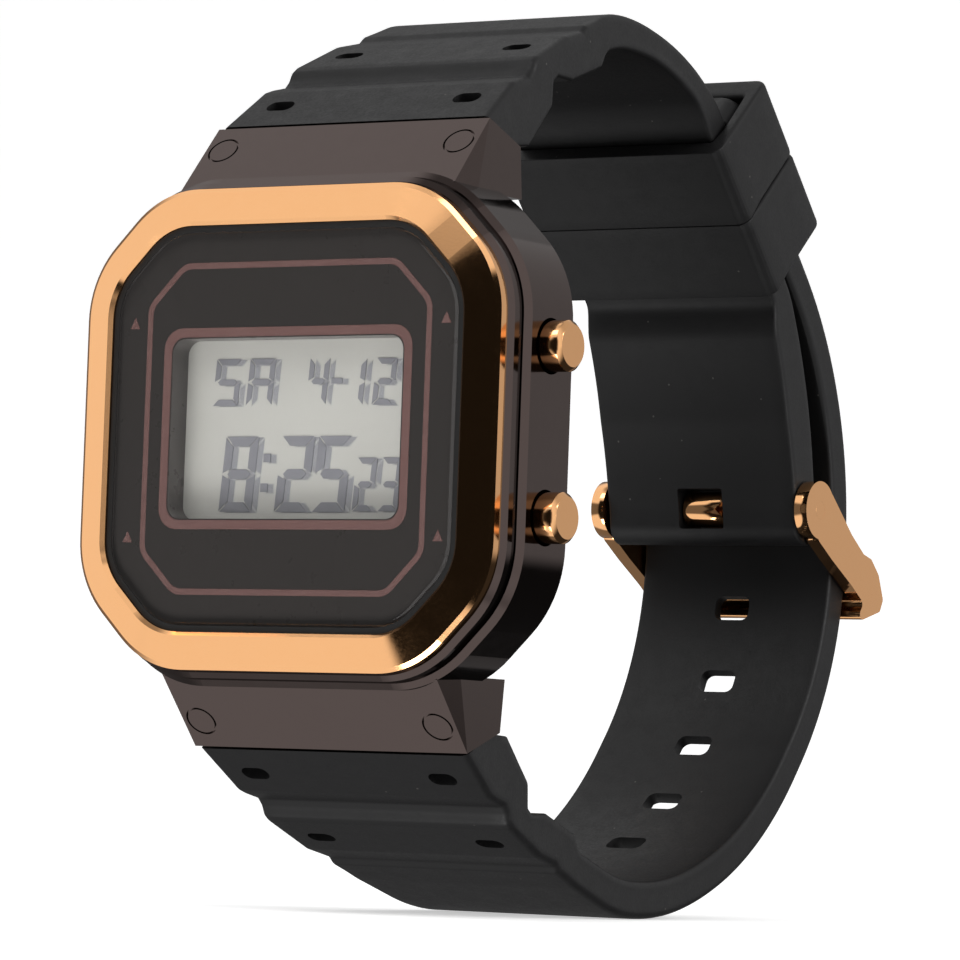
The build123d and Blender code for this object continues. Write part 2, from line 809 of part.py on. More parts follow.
def heel_points(flip):
    """The two corners of the gap between a lug's ears and the strap."""
    way = direction(hood_tip, ear_heel)
    clear = (-way[1], way[0])
    front = shifted(shifted(hood_tip, clear, ear_gap), way, ear_gap)
    rear = shifted(shifted(ear_heel, clear, ear_gap), way, ear_gap)
    return [(front[0], flip * front[1]), (rear[0], flip * rear[1])]


def end_block(flip):
    """The narrow end of the strap between the ears, round the spring bar."""
    way = direction(hood_foot, hood_tip)
    inward = (way[1], -way[0])
    hood_inner = shifted(hood_tip, inward, hood_plate + end_block_gap)
    front = shifted(bar_centre, inward, -end_block_radius)
    front_top = shifted(hood_inner, way, end_block_gap)
    points = [front, front_top, shifted(ear_heel, (0, 1), end_block_radius), ear_heel,
              shifted(bar_centre, (1, 0), end_block_radius)]
    half = ear_inner - end_block_gap
    web = side_solid([Polyline(*[(y, flip * z) for y, z in points], close=True)], half)
    centre = (bar_centre[0], flip * bar_centre[1])
    block = web + rod(end_block_radius, -half, half, *centre)
    return block, rod(bar_tube_radius + fit_gap, -half - cut, half + cut, *centre)


def planform():
    """The strap's outline seen from 12 o'clock: widest at the case, then narrowing."""
    points = [(wide * hood_width / 2, share * strap_reach) for share, wide in planform_shares]
    points.append((strap_width / 2, straight_share * strap_reach))
    right = Spline(*points, tangents=[direction(*points[:2]), (0, 1)])
    left = mirror(right, Plane.YZ)
    far = 2 * strap_reach
    rest = Polyline(right @ 1, (strap_width / 2, far), (-strap_width / 2, far), left @ 1)
    face = make_face([right, *rest.edges(), left, Line(left @ 0, right @ 0)])
    return extrude(face, 2 * crown_height, both=True)


def strap_blank(run, outer_stops, inner_stops, flip, cap):
    """One strap half: ribs and pads at the case, then the band along its route."""
    outer = run.edges(lambda share: flip * blend(outer_stops, share) / 2)
    inner = run.edges(lambda share: -flip * blend(inner_stops, share) / 2)
    ribs = Polyline(*root_points(run, rib_outline_shares, rib_rise), outer[0] @ 0)
    pads = Polyline(*heel_points(flip)[::-1][:1], *root_points(run, pad_outline_shares, -pad_depth),
                    inner[0] @ 0)
    heel = Polyline(ribs @ 0, *heel_points(flip))
    blank = side_solid([ribs, *outer, *cap(outer[-1] @ 1, inner[-1] @ 1), *inner, pads, heel], hood_width)
    block, bore = end_block(flip)
    return ((blank & planform()) + block) - bore


def rounded_end(outer_end, inner_end):
    """The strap's end beyond the buckle pin: a straight stretch and a half circle."""
    way = upper.at(upper.length)[1]
    nose = shifted(pin_centre, way, end_thickness / 2 + end_tail)
    corners = [Vector(*shifted(tuple(point)[:2], way, end_tail)) for point in (outer_end, inner_end)]
    arc = ThreePointArc(corners[0], nose, corners[1])
    return [Line(outer_end, corners[0]), arc, Line(corners[1], inner_end)]


def dimples(run):
    """The two pairs of oval blind holes on the ribs."""
    start, way, out, length = root_frame(run)
    result = []
    for x, distance, floor in zip(dimple_x, dimple_run, dimple_floor):
        spot = shifted(shifted(start, way, distance), out, rib_rise * 2)
        for side in (-1, 1):
            plane = Plane(origin=(side * x, *spot), x_dir=(1, 0, 0), z_dir=(0, -out[0], -out[1]))
            slot = SlotOverall(dimple_length, dimple_width)
            result.append(extrude(plane * slot, rib_rise * 2 - floor))
    return result


def strap_upper():
    """The 12 o'clock half, which carries the buckle."""
    stops = [(0.0, root_thickness), (0.15, crown_thickness), (0.30, crown_thickness),
             (0.36, seat_thickness), (0.67, seat_thickness)]
    outer = stops + [(1.0, end_thickness)]
    inner = stops + [(0.72, swell_thickness), (0.86, swell_thickness), (1.0, end_thickness)]
    strap = strap_blank(upper, outer, inner, 1, rounded_end)
    for dimple in dimples(upper):
        strap -= dimple
    strap -= rod(pin_radius + pin_gap, -strap_width, strap_width, *pin_centre)
    half = barrel_width / 2 + barrel_gap
    high = barrel_radius + barrel_gap
    window = Pos(0, pin_centre[0], pin_centre[1]) * Box(2 * half, 2 * end_thickness, 2 * high)
    return strap - window


def hole_distances():
    """How far along the 6 o'clock half each adjusting hole lies, with the one in use among them."""
    start, end = tongue_line()[1:3]
    way = direction(start, end)
    marks = [lower.length * i / crossing_steps for i in range(crossing_steps + 1)]

    def distance(mark):
        point = lower.at(mark)[0]
        return abs(way[0] * (point[1] - start[1]) - way[1] * (point[0] - start[0]))

    used = min(marks, key=distance)
    return [used + step * hole_pitch for step in range(-holes_below, holes_above + 1)]


def hole_channel():
    """The shallow channel that the adjusting holes open into on the outside of the strap."""
    first, last = hole_distances()[0] - channel_margin, hole_distances()[-1] + channel_margin
    floor = lower.edges(lambda share: channel_depth - tail_thickness / 2, first, last)
    roof = lower.edges(lambda share: -tail_thickness, first, last)
    ends = [Line(floor[0] @ 0, roof[0] @ 0), Line(floor[-1] @ 1, roof[-1] @ 1)]
    return side_solid([*floor, *roof, *ends], channel_width / 2)


def strap_lower():
    """The 6 o'clock half, with its adjusting holes and the tip inside the keepers."""
    stops = ((0.0, root_thickness), (0.08, tail_thickness), (1.0, tail_thickness))
    strap = strap_blank(lower, stops, stops, -1, lambda a, b: [Line(a, b)])
    for dimple in dimples(lower):
        strap -= dimple
    tip, way = lower.at(lower.length)
    end_edges = strap.edges().filter_by(lambda e: abs(e.length - tail_thickness) < fit_gap)
    end_edges = end_edges.sort_by_distance((0, *tip))[:2]
    strap = fillet(end_edges, tip_round)
    for distance in hole_distances():
        spot, way = lower.at(distance)
        plane = Plane(origin=(0, *spot), x_dir=(1, 0, 0), z_dir=(0, -way[1], way[0]))
        slot = RectangleRounded(hole_width, hole_length, hole_round)
        strap -= extrude(plane * slot, tail_thickness, both=True)
    return strap - hole_channel()


def keeper(place):
    """A moulded loop round both strap halves, with its wall thickest outside."""
    low = -(seat_thickness / 2 + keeper_gap)
    high = stack + tail_thickness / 2 + keeper_gap
    spot = shifted(seat_start, seat_way, keeper_start + place * (keeper_width + keeper_split))
    centre = shifted(spot, seat_out, (low - keeper_inner_wall + high + keeper_outer_wall) / 2)
    hollow = shifted(spot, seat_out, (low + high) / 2)
    inner_width = strap_width + 2 * keeper_side_gap
    outer_depth = high - low + keeper_inner_wall + keeper_outer_wall
    outer_width = inner_width + 2 * keeper_side_wall
    block = seat_plane(centre) * RectangleRounded(outer_width, outer_depth, keeper_round)
    space = seat_plane(hollow) * Rectangle(inner_width, high - low)
    return extrude(block, -keeper_width) - extrude(space, -keeper_width)


def seat_plane(spot):
    """A plane square to the straight stretch that the keepers sit on."""
    return Plane(origin=(0, *spot), x_dir=(1, 0, 0), z_dir=(0, -seat_way[0], -seat_way[1]))


def from_pin(share):
    """A point of the buckle's side view, as shares of its depth from the pin."""
    return (pin_centre[0] + share[0] * buckle_depth, pin_centre[1] + share[1] * buckle_depth)


def tongue_line():
    return [from_pin(share) for share in tongue_line_shares]


def buckle_frame():
    """The buckle: two arms with eyes on the pin, and the bar across the outside of the strap."""
    half = strap_width / 2 + buckle_side_gap
    outer = half + buckle_arm
    points = [from_pin(share) for share in buckle_upper_shares + buckle_lower_shares]
    outline = make_face(Polyline(*points, close=True))
    outline = fillet(outline.vertices(), buckle_corner_round)
    block = extrude(Plane.YZ * outline, outer, both=True) + rod(eye_radius, -outer, outer, *pin_centre)
    inside = strap_reach + tail_thickness / 2 + bar_front_gap
    low, top, high = [pin_centre[1] + rise for rise in (-buckle_depth, -bar_top_rise, buckle_depth)]
    lean = tail_thickness / 4
    space = [(0, low), (inside - lean, low), (inside, top), (inside, high), (0, high)]
    frame = block - side_solid([Polyline(*space, close=True)], half)
    frame -= rod(pin_radius, -half - cut, half + cut, *pin_centre)
    notch_way = direction(from_pin(buckle_upper_shares[3]), from_pin(buckle_upper_shares[4]))
    notch = shifted(along(from_pin(buckle_upper_shares[3]), from_pin(buckle_upper_shares[4]), 0.5),
                    (notch_way[1], -notch_way[0]), buckle_notch_depth)
    plane = Plane(origin=(0, *notch), x_dir=(1, 0, 0), z_dir=(0, -notch_way[1], notch_way[0]))
    return frame - extrude(plane * Rectangle(tongue_width + 2 * barrel_gap, eye_radius), eye_radius)


def buckle_pin():
    half = strap_width / 2 + buckle_side_gap + buckle_arm
    return rod(pin_radius, -half, half, *pin_centre)


def buckle_tongue():
    """The tongue: a rolled barrel on the pin, and a bent strip through the strap to the bar."""
    line = tongue_line()
    sides = [[], []]
    for i, point in enumerate(line):
        before = direction(line[max(i - 1, 0)], line[max(i, 1)])
        after = direction(line[min(i, 2)], line[min(i + 1, 3)])
        normal = (-(before[1] + after[1]) / 2, (before[0] + after[0]) / 2)
        sides[0].append(shifted(point, normal, tongue_thickness / 2))
        sides[1].append(shifted(point, normal, -tongue_thickness / 2))
    strip = side_solid([Polyline(*sides[0], *reversed(sides[1]), close=True)], tongue_width / 2)
    strip = strip + rod(barrel_radius, -barrel_width / 2, barrel_width / 2, *pin_centre)
    strip -= rod(pin_radius + pin_gap, -barrel_width, barrel_width, *pin_centre)
    edge = barrel_width / 2
    wedge = Polyline((edge, -tongue_notch_depth), (edge - tongue_notch_depth, 0),
                     (edge, tongue_notch_depth), (edge + tongue_notch_depth, 0), close=True)
    front = Plane(origin=(0, pin_centre[0] - pin_radius, pin_centre[1]), x_dir=(1, 0, 0), z_dir=(0, -1, 0))
    return strip - extrude(front * make_face(wedge), barrel_radius)


def save(name, piece):
    export_step(piece, "parts/" + name + ".step")


os.makedirs("parts", exist_ok=True)
for make in (case_middle, bezel, crystal, crystal_gasket, face_panel, lcd_cell, backlight_panel,
             backlight_lamp, module_frame, circuit_board, clock_chip, quartz_can, coin_cell, cell_contact,
             battery_clip, buzzer_disc, buzzer_spring, back_gasket, case_back, back_screws, strap_upper,
             strap_lower, buckle_frame, buckle_pin, buckle_tongue):
    save(make.__name__, make())
for name, side, z in button_frames():
    save("button_" + name, push_button(side, z))
    save("button_spring_" + name, return_spring(side, z))
    save("button_clip_" + name, retaining_clip(side, z))
    save("button_seal_" + name, stem_seal(side, z))
for level, side in (("upper", 1), ("lower", -1)):
    save("lcd_connector_" + level, lcd_connector(side))
    save("spring_bar_" + level, bar_tube(side))
    save("spring_bar_coil_" + level, bar_coil(side))
    for name, end in (("right", 1), ("left", -1)):
        save("spring_bar_tip_" + level + "_" + name, bar_tip(side, end))
    save("keeper_" + level, keeper(0 if side > 0 else 1))
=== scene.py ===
import json
from math import cos, pi, radians, sin

import bmesh
import bpy
import numpy as np
from mathutils import Matrix, Vector


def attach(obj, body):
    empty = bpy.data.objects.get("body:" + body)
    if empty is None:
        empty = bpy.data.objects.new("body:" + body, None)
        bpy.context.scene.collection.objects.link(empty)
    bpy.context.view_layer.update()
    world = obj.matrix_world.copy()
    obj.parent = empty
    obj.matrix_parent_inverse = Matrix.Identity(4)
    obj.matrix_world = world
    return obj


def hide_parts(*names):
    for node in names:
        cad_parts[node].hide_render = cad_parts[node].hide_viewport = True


# A digital watch, buckled into its closed loop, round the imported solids.
# Lengths are in millimetres until a mesh is made. X points to 3 o'clock, Z to 12 o'clock, and
# Y out of the case back. A side view is given as (y, z), a dial view as (x, z).
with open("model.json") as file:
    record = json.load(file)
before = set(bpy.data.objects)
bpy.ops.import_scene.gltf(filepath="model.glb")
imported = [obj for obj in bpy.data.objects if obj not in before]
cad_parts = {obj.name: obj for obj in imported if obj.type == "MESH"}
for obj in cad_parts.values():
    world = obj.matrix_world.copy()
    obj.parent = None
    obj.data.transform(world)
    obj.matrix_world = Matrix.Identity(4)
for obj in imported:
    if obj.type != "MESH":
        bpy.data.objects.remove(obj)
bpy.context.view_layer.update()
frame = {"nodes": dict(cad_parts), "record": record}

MM = 0.001
BODY = "watch"
SHARP_EDGE, SHARP_CUT = radians(35), radians(32)

# Sizes of the head, as in the solids
CASE_HEIGHT = 41.4
HOOD_WIDTH = 26.5
HOOD_TIP = (-3.0, CASE_HEIGHT / 2 + 4.8)
EAR_HEEL = (1.6, CASE_HEIGHT / 2 + 3.0)
HOOD_FOOT = (-7.99, CASE_HEIGHT / 2 - 0.9)
EAR_INNER = 10.65
PANEL_FRONT = 10.9
LCD_FRONT = 8.7
BAR_CENTRE = (-1.2, CASE_HEIGHT / 2 + 1.5)
BAR_RADIUS = 0.95

# Sizes of the strap
STRAP_REACH = 63.7
CROWN_HEIGHT = 35.95
FLOOR_DEPTH = 37.1
STRAP_WIDTH = 19.5
RIB_RISE = 2.05
PAD_DEPTH = 4.5
SEAT_START = np.array((39.16608, 30.46989))
SEAT_WAY = np.array((0.682291, -0.731081))
SEAT_OUT = np.array((0.731081, 0.682291))
STACK = 3.45
SEAT_THICKNESS = 3.3
TAIL_THICKNESS = 3.2
LOWER_LEAN = 0.033
PIN_CENTRE = np.array((57.6485, -2.09948))
PIN_BORE = 0.85
BARREL_WINDOW = (4.6, 3.6, 0.25)            # width, height and corner radius
END_TAIL = 1.2
TIP_ROUND, TIP_CLEAR = 1.5, 0.2
HOLE = (3.5, 2.2, 0.7)                      # width, length and corner radius
FIRST_HOLE, HOLE_STEP, HOLES = 27.499, 7.55, 10
CHANNEL_WIDTH, CHANNEL_DEPTH, CHANNEL_RUN_OUT = 7.0, 2.1, 3.2
DIMPLE = (2.6, 1.5)                         # length and width
DIMPLES = ((9.15, 3.5, -0.5), (8.3, 13.6, 0.85))    # x, distance from the hood, floor
EDGE_ROUNDS = (0.6, 0.35)                   # outside, inside
LARGEST_ROUND_SHARE = 0.499                 # of the thickness
FLASH_HEIGHT, FLASH_PLACE, FLASH_WIDTH = 0.09, 0.5, 0.12
ROOT_STATIONS, BAND_STEP = 190, 0.45
NO_LIMIT = 50.0                             # wider than the strap is anywhere
CUT_THROUGH, CUT_BARREL, CUT_HOLE, CUT_PROUD = 20.0, 8.0, 3.2, 2.0

# Sizes of the resin between the ears
HOOD_WALL, BLOCK_LAP = 1.75, 0.25
BLOCK_REACH, BLOCK_CORNER, BLOCK_LEAST = 1.4, 1.0, 1.38
BLOCK_ROUND, BLOCK_GAP = 0.25, 0.25
BLOCK_STATIONS = 72

# Sizes of the keepers
KEEPER_WIDTH, KEEPER_SWELL = 7.7, 0.05
KEEPER_SPLIT = 0.15
KEEPER_START = 0.8
KEEPER_WALLS, KEEPER_SIDE_WALL = (1.6, 2.4), 1.35
KEEPER_SLACK, KEEPER_SIDE_SLACK = 0.2, 0.25
KEEPER_ROUNDS = (0.35, 1.1)                 # of the inner and the outer outline
KEEPER_EDGES = (0.08, 0.45)                 # at the wrist, elsewhere

# Lines of the strap. A run's points are shares of its reach and height, the rounds say how much of
# the shorter stretch an arc takes, and the stops give a thickness at shares of the route's length.
UPPER_RUN = ((0.290, 0.985), (0.3226, 1.0), (0.452, 1.0), (0.5846, 0.905), (0.8223, 0.4537),
             (0.8838, 0.228), (0.905, -0.0584))
UPPER_ROUND = (0.88, 0.72, 0.31, 0.10, 0.85)
UPPER_OUTER = ((0.0, 0.15, 0.30, 0.36, 0.67, 1.0), (3.1, 2.7, 2.7, 3.3, 3.3, 4.0))
UPPER_INNER = ((0.0, 0.15, 0.30, 0.36, 0.67, 0.72, 0.86, 1.0),
               (3.1, 2.7, 2.7, 3.3, 3.3, 5.4, 5.4, 4.0))
LOWER_RUN = ((0.290, 0.935), (0.4137, 1.0), (0.727, 1.0), (1.0, 0.4394))
LOWER_ROUND = (0.40, 0.78, 0.40, 0.54)
LOWER_STOPS = ((0.0, 0.08, 1.0), (3.1, 3.2, 3.2))
RIB_START = (0.25, 0.1)                     # in millimetres, clear of the hood
HEEL_GAP = 0.15
# Shares of the ribbed stretch's length and of the ribs' rise or the pads' depth
RIB_LINE = ((0.251, 0.62), (0.291, 0.58), (0.363, 0.42), (0.399, 0.60), (0.426, 0.88),
            (0.453, 0.96), (0.694, 0.98), (0.824, 0.69), (0.859, 0.84), (0.927, 0.79))
PAD_LINE = ((0.275, 1.0), (0.410, 0.753), (0.492, 0.61), (0.534, 0.20), (0.574, 0.16),
            (0.676, 0.41), (0.911, 0.54), (0.958, 0.375))
# Shares of the strap's reach behind the case back and of the hoods' width
PLANFORM = ((-0.060, 1.00), (0.024, 0.943), (0.086, 0.921), (0.173, 0.883), (0.298, 0.830),
            (0.440, 0.785), (0.62, 0.7358), (3.0, 0.7358))
PLANFORM_EASE = 3.0


# Meshes

def finish(name, mesh, look=None):
    """An object at the origin from a mesh in millimetres: faces turned outwards, and shaded smooth
    but for sharp edges."""
    build = bmesh.new()
    build.from_mesh(mesh)
    bmesh.ops.recalc_face_normals(build, faces=build.faces)
    bmesh.ops.scale(build, vec=(MM, MM, MM), verts=build.verts)
    build.to_mesh(mesh)
    build.free()
    mesh.polygons.foreach_set("use_smooth", np.ones(len(mesh.polygons), dtype=bool))
    mesh.set_sharp_from_angle(angle=SHARP_EDGE)
    thing = bpy.data.objects.new(name, mesh)
    bpy.context.scene.collection.objects.link(thing)
    if look:
        mesh.materials.append(look)
    return thing


def shell(name, points, faces):
    """A mesh from an array of points and the faces between them."""
    mesh = bpy.data.meshes.new(name)
    mesh.from_pydata(np.asarray(points).reshape(-1, 3).tolist(), [], faces)
    return mesh


def quads(rows, columns, wrap_rows=False, wrap_columns=True):
    """The four-sided faces of a grid whose point (row, column) has the number row * columns +
    column, closed on itself along rows or columns where asked."""
    r, c = np.meshgrid(np.arange(rows - (not wrap_rows)), np.arange(columns - (not wrap_columns)),
                       indexing="ij")
    r_next, c_next = (r + 1) % rows, (c + 1) % columns
    corners = [row * columns + column
               for row, column in ((r, c), (r, c_next), (r_next, c_next), (r_next, c))]
    return np.stack(corners, -1).reshape(-1, 4).tolist()


def capped(name, sections):
    """A tube from an array of closed sections (section, point, xyz), with a face at each end."""
    rows, columns = sections.shape[:2]
    faces = quads(rows, columns)
    faces.append(list(range(columns)))
    faces.append(list(range((rows - 1) * columns, rows * columns)))
    return shell(name, sections, faces)


def ring(name, sections):
    """A closed ring from an array of closed sections (section, point, xyz)."""
    return shell(name, sections, quads(*sections.shape[:2], wrap_rows=True))


def rounded_section(across, through, steps=4):
    """A rectangle with rounded corners as four columns: the place of each point as shares of the
    two half sides less the corner radius, then the share of that radius to add along each. Each
    corner's quarter circle is followed by the points of the side after it."""
    turns = np.linspace(0, pi / 2, steps + 1)
    flat = np.linspace(-1, 1, across + 1)[1:-1]
    upright = np.linspace(-1, 1, through + 1)[1:-1]
    corners = ((-1, -1, pi), (1, -1, 1.5 * pi), (1, 1, 0.0), (-1, 1, 0.5 * pi))
    sides = ((flat, -1, 0, -1), (1, upright, 1, 0), (-flat, 1, 0, 1), (-1, -upright, -1, 0))
    parts = []
    for (sx, st, start), side in zip(corners, sides):
        arc = (sx, st, np.cos(start + turns), np.sin(start + turns))
        parts += [np.stack(np.broadcast_arrays(*columns), -1) for columns in (arc, side)]
    return np.concatenate(parts)


def section_across(shape, half, corner):
    """A rounded section's places along its first side, from the half side and corner radius."""
    return shape[None, :, 0] * (half - corner) + shape[None, :, 2] * corner


def section_through(shape, start, end, corner):
    """A rounded section stood on the line from start to end at each station: its points, and their
    distances from the line's middle."""
    gap = end - start
    depth = np.linalg.norm(gap, axis=1)[:, None]
    distance = shape[None, :, 1] * (depth / 2 - corner) + shape[None, :, 3] * corner
    points = ((start + end) / 2)[:, None, :] + (gap / depth)[:, None, :] * distance[..., None]
    return points, distance


def rounded_loop(corners, rounding, steps=8):
    """A closed outline through the corners, each replaced by an arc of the given radius: the arc's
    centre lies on the corner's bisector, radius / sin(half the corner's angle) from it."""
    corners = np.asarray(corners, dtype=float)
    before = corners - np.roll(corners, 1, axis=0)
    after = np.roll(corners, -1, axis=0) - corners
    before /= np.linalg.norm(before, axis=1)[:, None]
    after /= np.linalg.norm(after, axis=1)[:, None]
    turn = np.arctan2(before[:, 0] * after[:, 1] - before[:, 1] * after[:, 0],
                      (before * after).sum(axis=1))
    radius = np.broadcast_to(np.asarray(rounding, dtype=float), turn.shape)
    side = np.sign(turn)
    left = np.stack((-before[:, 1], before[:, 0]), -1) * side[:, None]
    enter = corners - before * (radius * np.tan(np.abs(turn) / 2))[:, None]
    centre = enter + left * radius[:, None]
    angle = np.linspace(0, 1, steps + 1)[None, :] * turn[:, None]
    spoke = -left
    turned = np.stack((spoke[:, 0, None] * np.cos(angle) - spoke[:, 1, None] * np.sin(angle),
                       spoke[:, 0, None] * np.sin(angle) + spoke[:, 1, None] * np.cos(angle)), -1)
    return (centre[:, None, :] + turned * radius[:, None, None]).reshape(-1, 2)


def cushion(width, height, leg, rounding):
    """A rectangle with cut corners, and every corner left by the cuts rounded."""
    w, h = width / 2, height / 2
    corners = ((w, h - leg), (w - leg, h), (leg - w, h), (-w, h - leg), (-w, leg - h),
               (leg - w, -h), (w - leg, -h), (w, leg - h))
    return rounded_loop(corners, rounding)


def box_loop(width, height, rounding, centre=(0.0, 0.0)):
    """A rectangle with rounded corners about a centre."""
    w, h = width / 2, height / 2
    loop = rounded_loop(((w, h), (-w, h), (-w, -h), (w, -h)), rounding, steps=5)
    return loop + np.array(centre)


def on_dial(loop, height):
    """A dial view outline placed at a height above the case back."""
    loop = np.asarray(loop, dtype=float)
    return np.stack((loop[:, 0], np.full(len(loop), -height), loop[:, 1]), -1)


def line_ring(name, outer, inner):
    """A printed line on the panel: the band between two outlines of equally many points."""
    low, high = PANEL_FRONT, PANEL_FRONT + PRINT_THICKNESS
    corners = [on_dial(outer, low), on_dial(outer, high), on_dial(inner, high), on_dial(inner, low)]
    return ring(name, np.stack(corners, 1))


def wall(base, n):
    """The four-sided faces between two outlines of n points each, numbered from base on."""
    i = np.arange(n)
    after = (i + 1) % n
    return (base + np.stack((i, after, n + after, n + i), -1)).tolist()


def plates(name, loops, low, high):
    """Flat plates with the given dial view outlines, as one mesh."""
    points, faces = [], []
    for loop in loops:
        base, n = len(points), len(loop)
        points.extend(on_dial(loop, low).tolist() + on_dial(loop, high).tolist())
        faces.append(list(range(base, base + n)))
        faces.append(list(range(base + n, base + 2 * n))[::-1])
        faces.extend(wall(base, n))
    return shell(name, points, faces)


# Strap routes

def unit(vector):
    """Vectors divided by their lengths."""
    return vector / np.linalg.norm(vector, axis=-1, keepdims=True)


class Route:
    """Straight stretches joined by arcs that touch them. An arc's tangent is a share of the
    shorter stretch beside it, and its radius that tangent / tan(half the turn)."""

    def __init__(self, points, shares):
        points = np.asarray(points, dtype=float)
        ways = unit(np.diff(points, axis=0))
        lengths = np.linalg.norm(np.diff(points, axis=0), axis=1)
        cross = ways[:-1, 0] * ways[1:, 1] - ways[:-1, 1] * ways[1:, 0]
        turn = np.arctan2(cross, (ways[:-1] * ways[1:]).sum(axis=1))
        tangent = np.asarray(shares) * np.minimum(lengths[:-1], lengths[1:])
        bend = np.tan(turn / 2) / tangent
        enter = points[1:-1] - ways[:-1] * tangent[:, None]
        leave = points[1:-1] + ways[1:] * tangent[:, None]
        starts = np.concatenate((points[:1], leave))
        ends = np.concatenate((enter, points[-1:]))
        straight = np.linalg.norm(ends - starts, axis=1)
        count = len(ways) + len(turn)
        self.start, self.way = np.zeros((count, 2)), np.zeros((count, 2))
        self.bend, size = np.zeros(count), np.zeros(count)
        self.start[0::2], self.way[0::2], size[0::2] = starts, ways, straight
        self.start[1::2], self.way[1::2], self.bend[1::2] = enter, ways[:-1], bend
        size[1::2] = turn / bend
        self.mark = np.concatenate(([0.0], np.cumsum(size)))
        self.length = self.mark[-1]

    def at(self, distance):
        """Points and headings at distances from the start: sin(bend * s) / bend along the
        stretch's heading and (1 - cos(bend * s)) / bend to its left."""
        distance = np.atleast_1d(np.asarray(distance, dtype=float))
        i = np.clip(np.searchsorted(self.mark, distance, side="right") - 1, 0, len(self.bend) - 1)
        s, k, way = distance - self.mark[i], self.bend[i], self.way[i]
        left = np.stack((-way[:, 1], way[:, 0]), -1)
        safe = np.where(k == 0, 1.0, k)
        ahead = np.where(k == 0, s, np.sin(k * s) / safe)[:, None]
        aside = np.where(k == 0, 0.0, (1 - np.cos(k * s)) / safe)[:, None]
        heading = way * np.cos(k * s)[:, None] + left * np.sin(k * s)[:, None]
        return self.start[i] + way * ahead + left * aside, heading


UPPER = Route([(y * STRAP_REACH, z * CROWN_HEIGHT) for y, z in UPPER_RUN], UPPER_ROUND)


def lower_points():
    """The 6 o'clock half's corners: the last stretch lies on the other half, under the keepers."""
    points = [(y * STRAP_REACH, -z * FLOOR_DEPTH) for y, z in LOWER_RUN]
    seat = SEAT_START + SEAT_OUT * STACK
    gap = np.array(points[-1]) - seat
    along = (gap[0] - LOWER_LEAN * gap[1]) / (SEAT_WAY[0] - LOWER_LEAN * SEAT_WAY[1])
    bend = seat + SEAT_WAY * along
    tip = seat + SEAT_WAY * KEEPER_START
    return points + [tuple(bend), tuple(tip)]


LOWER = Route(lower_points(), LOWER_ROUND)


def half_width(y):
    """The strap's half width by its distance behind the case back: widest at the case. The mean of
    a few places about each one rounds the planform's corners."""
    places = np.array([share * STRAP_REACH for share, _ in PLANFORM])
    widths = np.array([wide * HOOD_WIDTH / 2 for _, wide in PLANFORM])
    shifts = np.linspace(-PLANFORM_EASE, PLANFORM_EASE, 5)
    return sum(np.interp(np.asarray(y) + shift, places, widths) for shift in shifts) / len(shifts)


def eased(line):
    """A line of points with its corners rounded by averaging each point with its neighbours."""
    line = line.copy()
    line[1:-1] = (line[:-2] + 2 * line[1:-1] + line[2:]) / 4
    return line


def root_axes(route, flip):
    """The ribbed stretch's own axes: its start at the hood's edge, the way from there to the band,
    and outwards, square to that way."""
    start = np.array((HOOD_TIP[0], flip * HOOD_TIP[1]))
    way = unit(route.at(0.0)[0][0] - start)
    return start, way, np.array((-way[1], way[0])) * flip


def root_lines(route, flip, stops):
    """The outer and inner lines of the ribbed stretch: shares of its length along the line from
    the hood's edge to the band, and shares of a rise or depth square to it."""
    start, way, out = root_axes(route, flip)
    end, heading = route.at(0.0)
    length = np.linalg.norm(end[0] - start)
    side = np.array((-heading[0, 1], heading[0, 0])) * flip * stops[1][0] / 2

    def to_root(point):
        """A side view point as distances along the way and outwards."""
        return np.dot(point - start, way), np.dot(point - start, out)

    heel_way = unit(np.array(EAR_HEEL) - np.array(HOOD_TIP))
    heel = (np.array(EAR_HEEL) + np.array((-heel_way[1], heel_way[0])) * HEEL_GAP
            + heel_way * HEEL_GAP)
    heel = to_root(np.array((heel[0], flip * heel[1])))
    outer_end, inner_end = to_root(end[0] + side), to_root(end[0] - side)
    ribs = [RIB_START] + [(u * length, v * RIB_RISE) for u, v in RIB_LINE] + [outer_end]
    pads = [heel] + [(u * length, -v * PAD_DEPTH) for u, v in PAD_LINE] + [inner_end]
    share = np.linspace(0, 1, ROOT_STATIONS)
    lines = []
    for corners in (np.array(ribs), np.array(pads)):
        u = corners[0, 0] + (corners[-1, 0] - corners[0, 0]) * share
        v = np.interp(u, corners[:, 0], corners[:, 1])
        lines.append(start + u[:, None] * way + v[:, None] * out)
    return lines


def strap_sections(outer, inner, limit):
    """A strap's sections: a rounded rectangle stood on the line from the outer to the inner point
    of each station, as wide as the planform is at each point's own distance from the case. Near
    the inside, the mould's fine parting line stands out of both sides by its height times
    exp(-(distance / width) ^ 2)."""
    shape = rounded_section(16, 8)
    depth = np.linalg.norm(inner - outer, axis=1)[:, None]
    corner = np.where(shape[:, 1] < 0, *EDGE_ROUNDS)
    corner = np.minimum(corner[None, :], depth * LARGEST_ROUND_SHARE)
    side_view, distance = section_through(shape, outer, inner, corner)
    wide = np.minimum(half_width(side_view[..., 0]), limit[:, None])
    from_line = distance - depth / 2 + FLASH_PLACE
    flash = FLASH_HEIGHT * np.exp(-(from_line / FLASH_WIDTH) ** 2)
    on_side = np.abs(shape[None, :, 2]) > 0.9
    x = section_across(shape, wide, corner) + np.sign(shape[None, :, 0]) * flash * on_side
    return np.concatenate((x[..., None], side_view), -1)


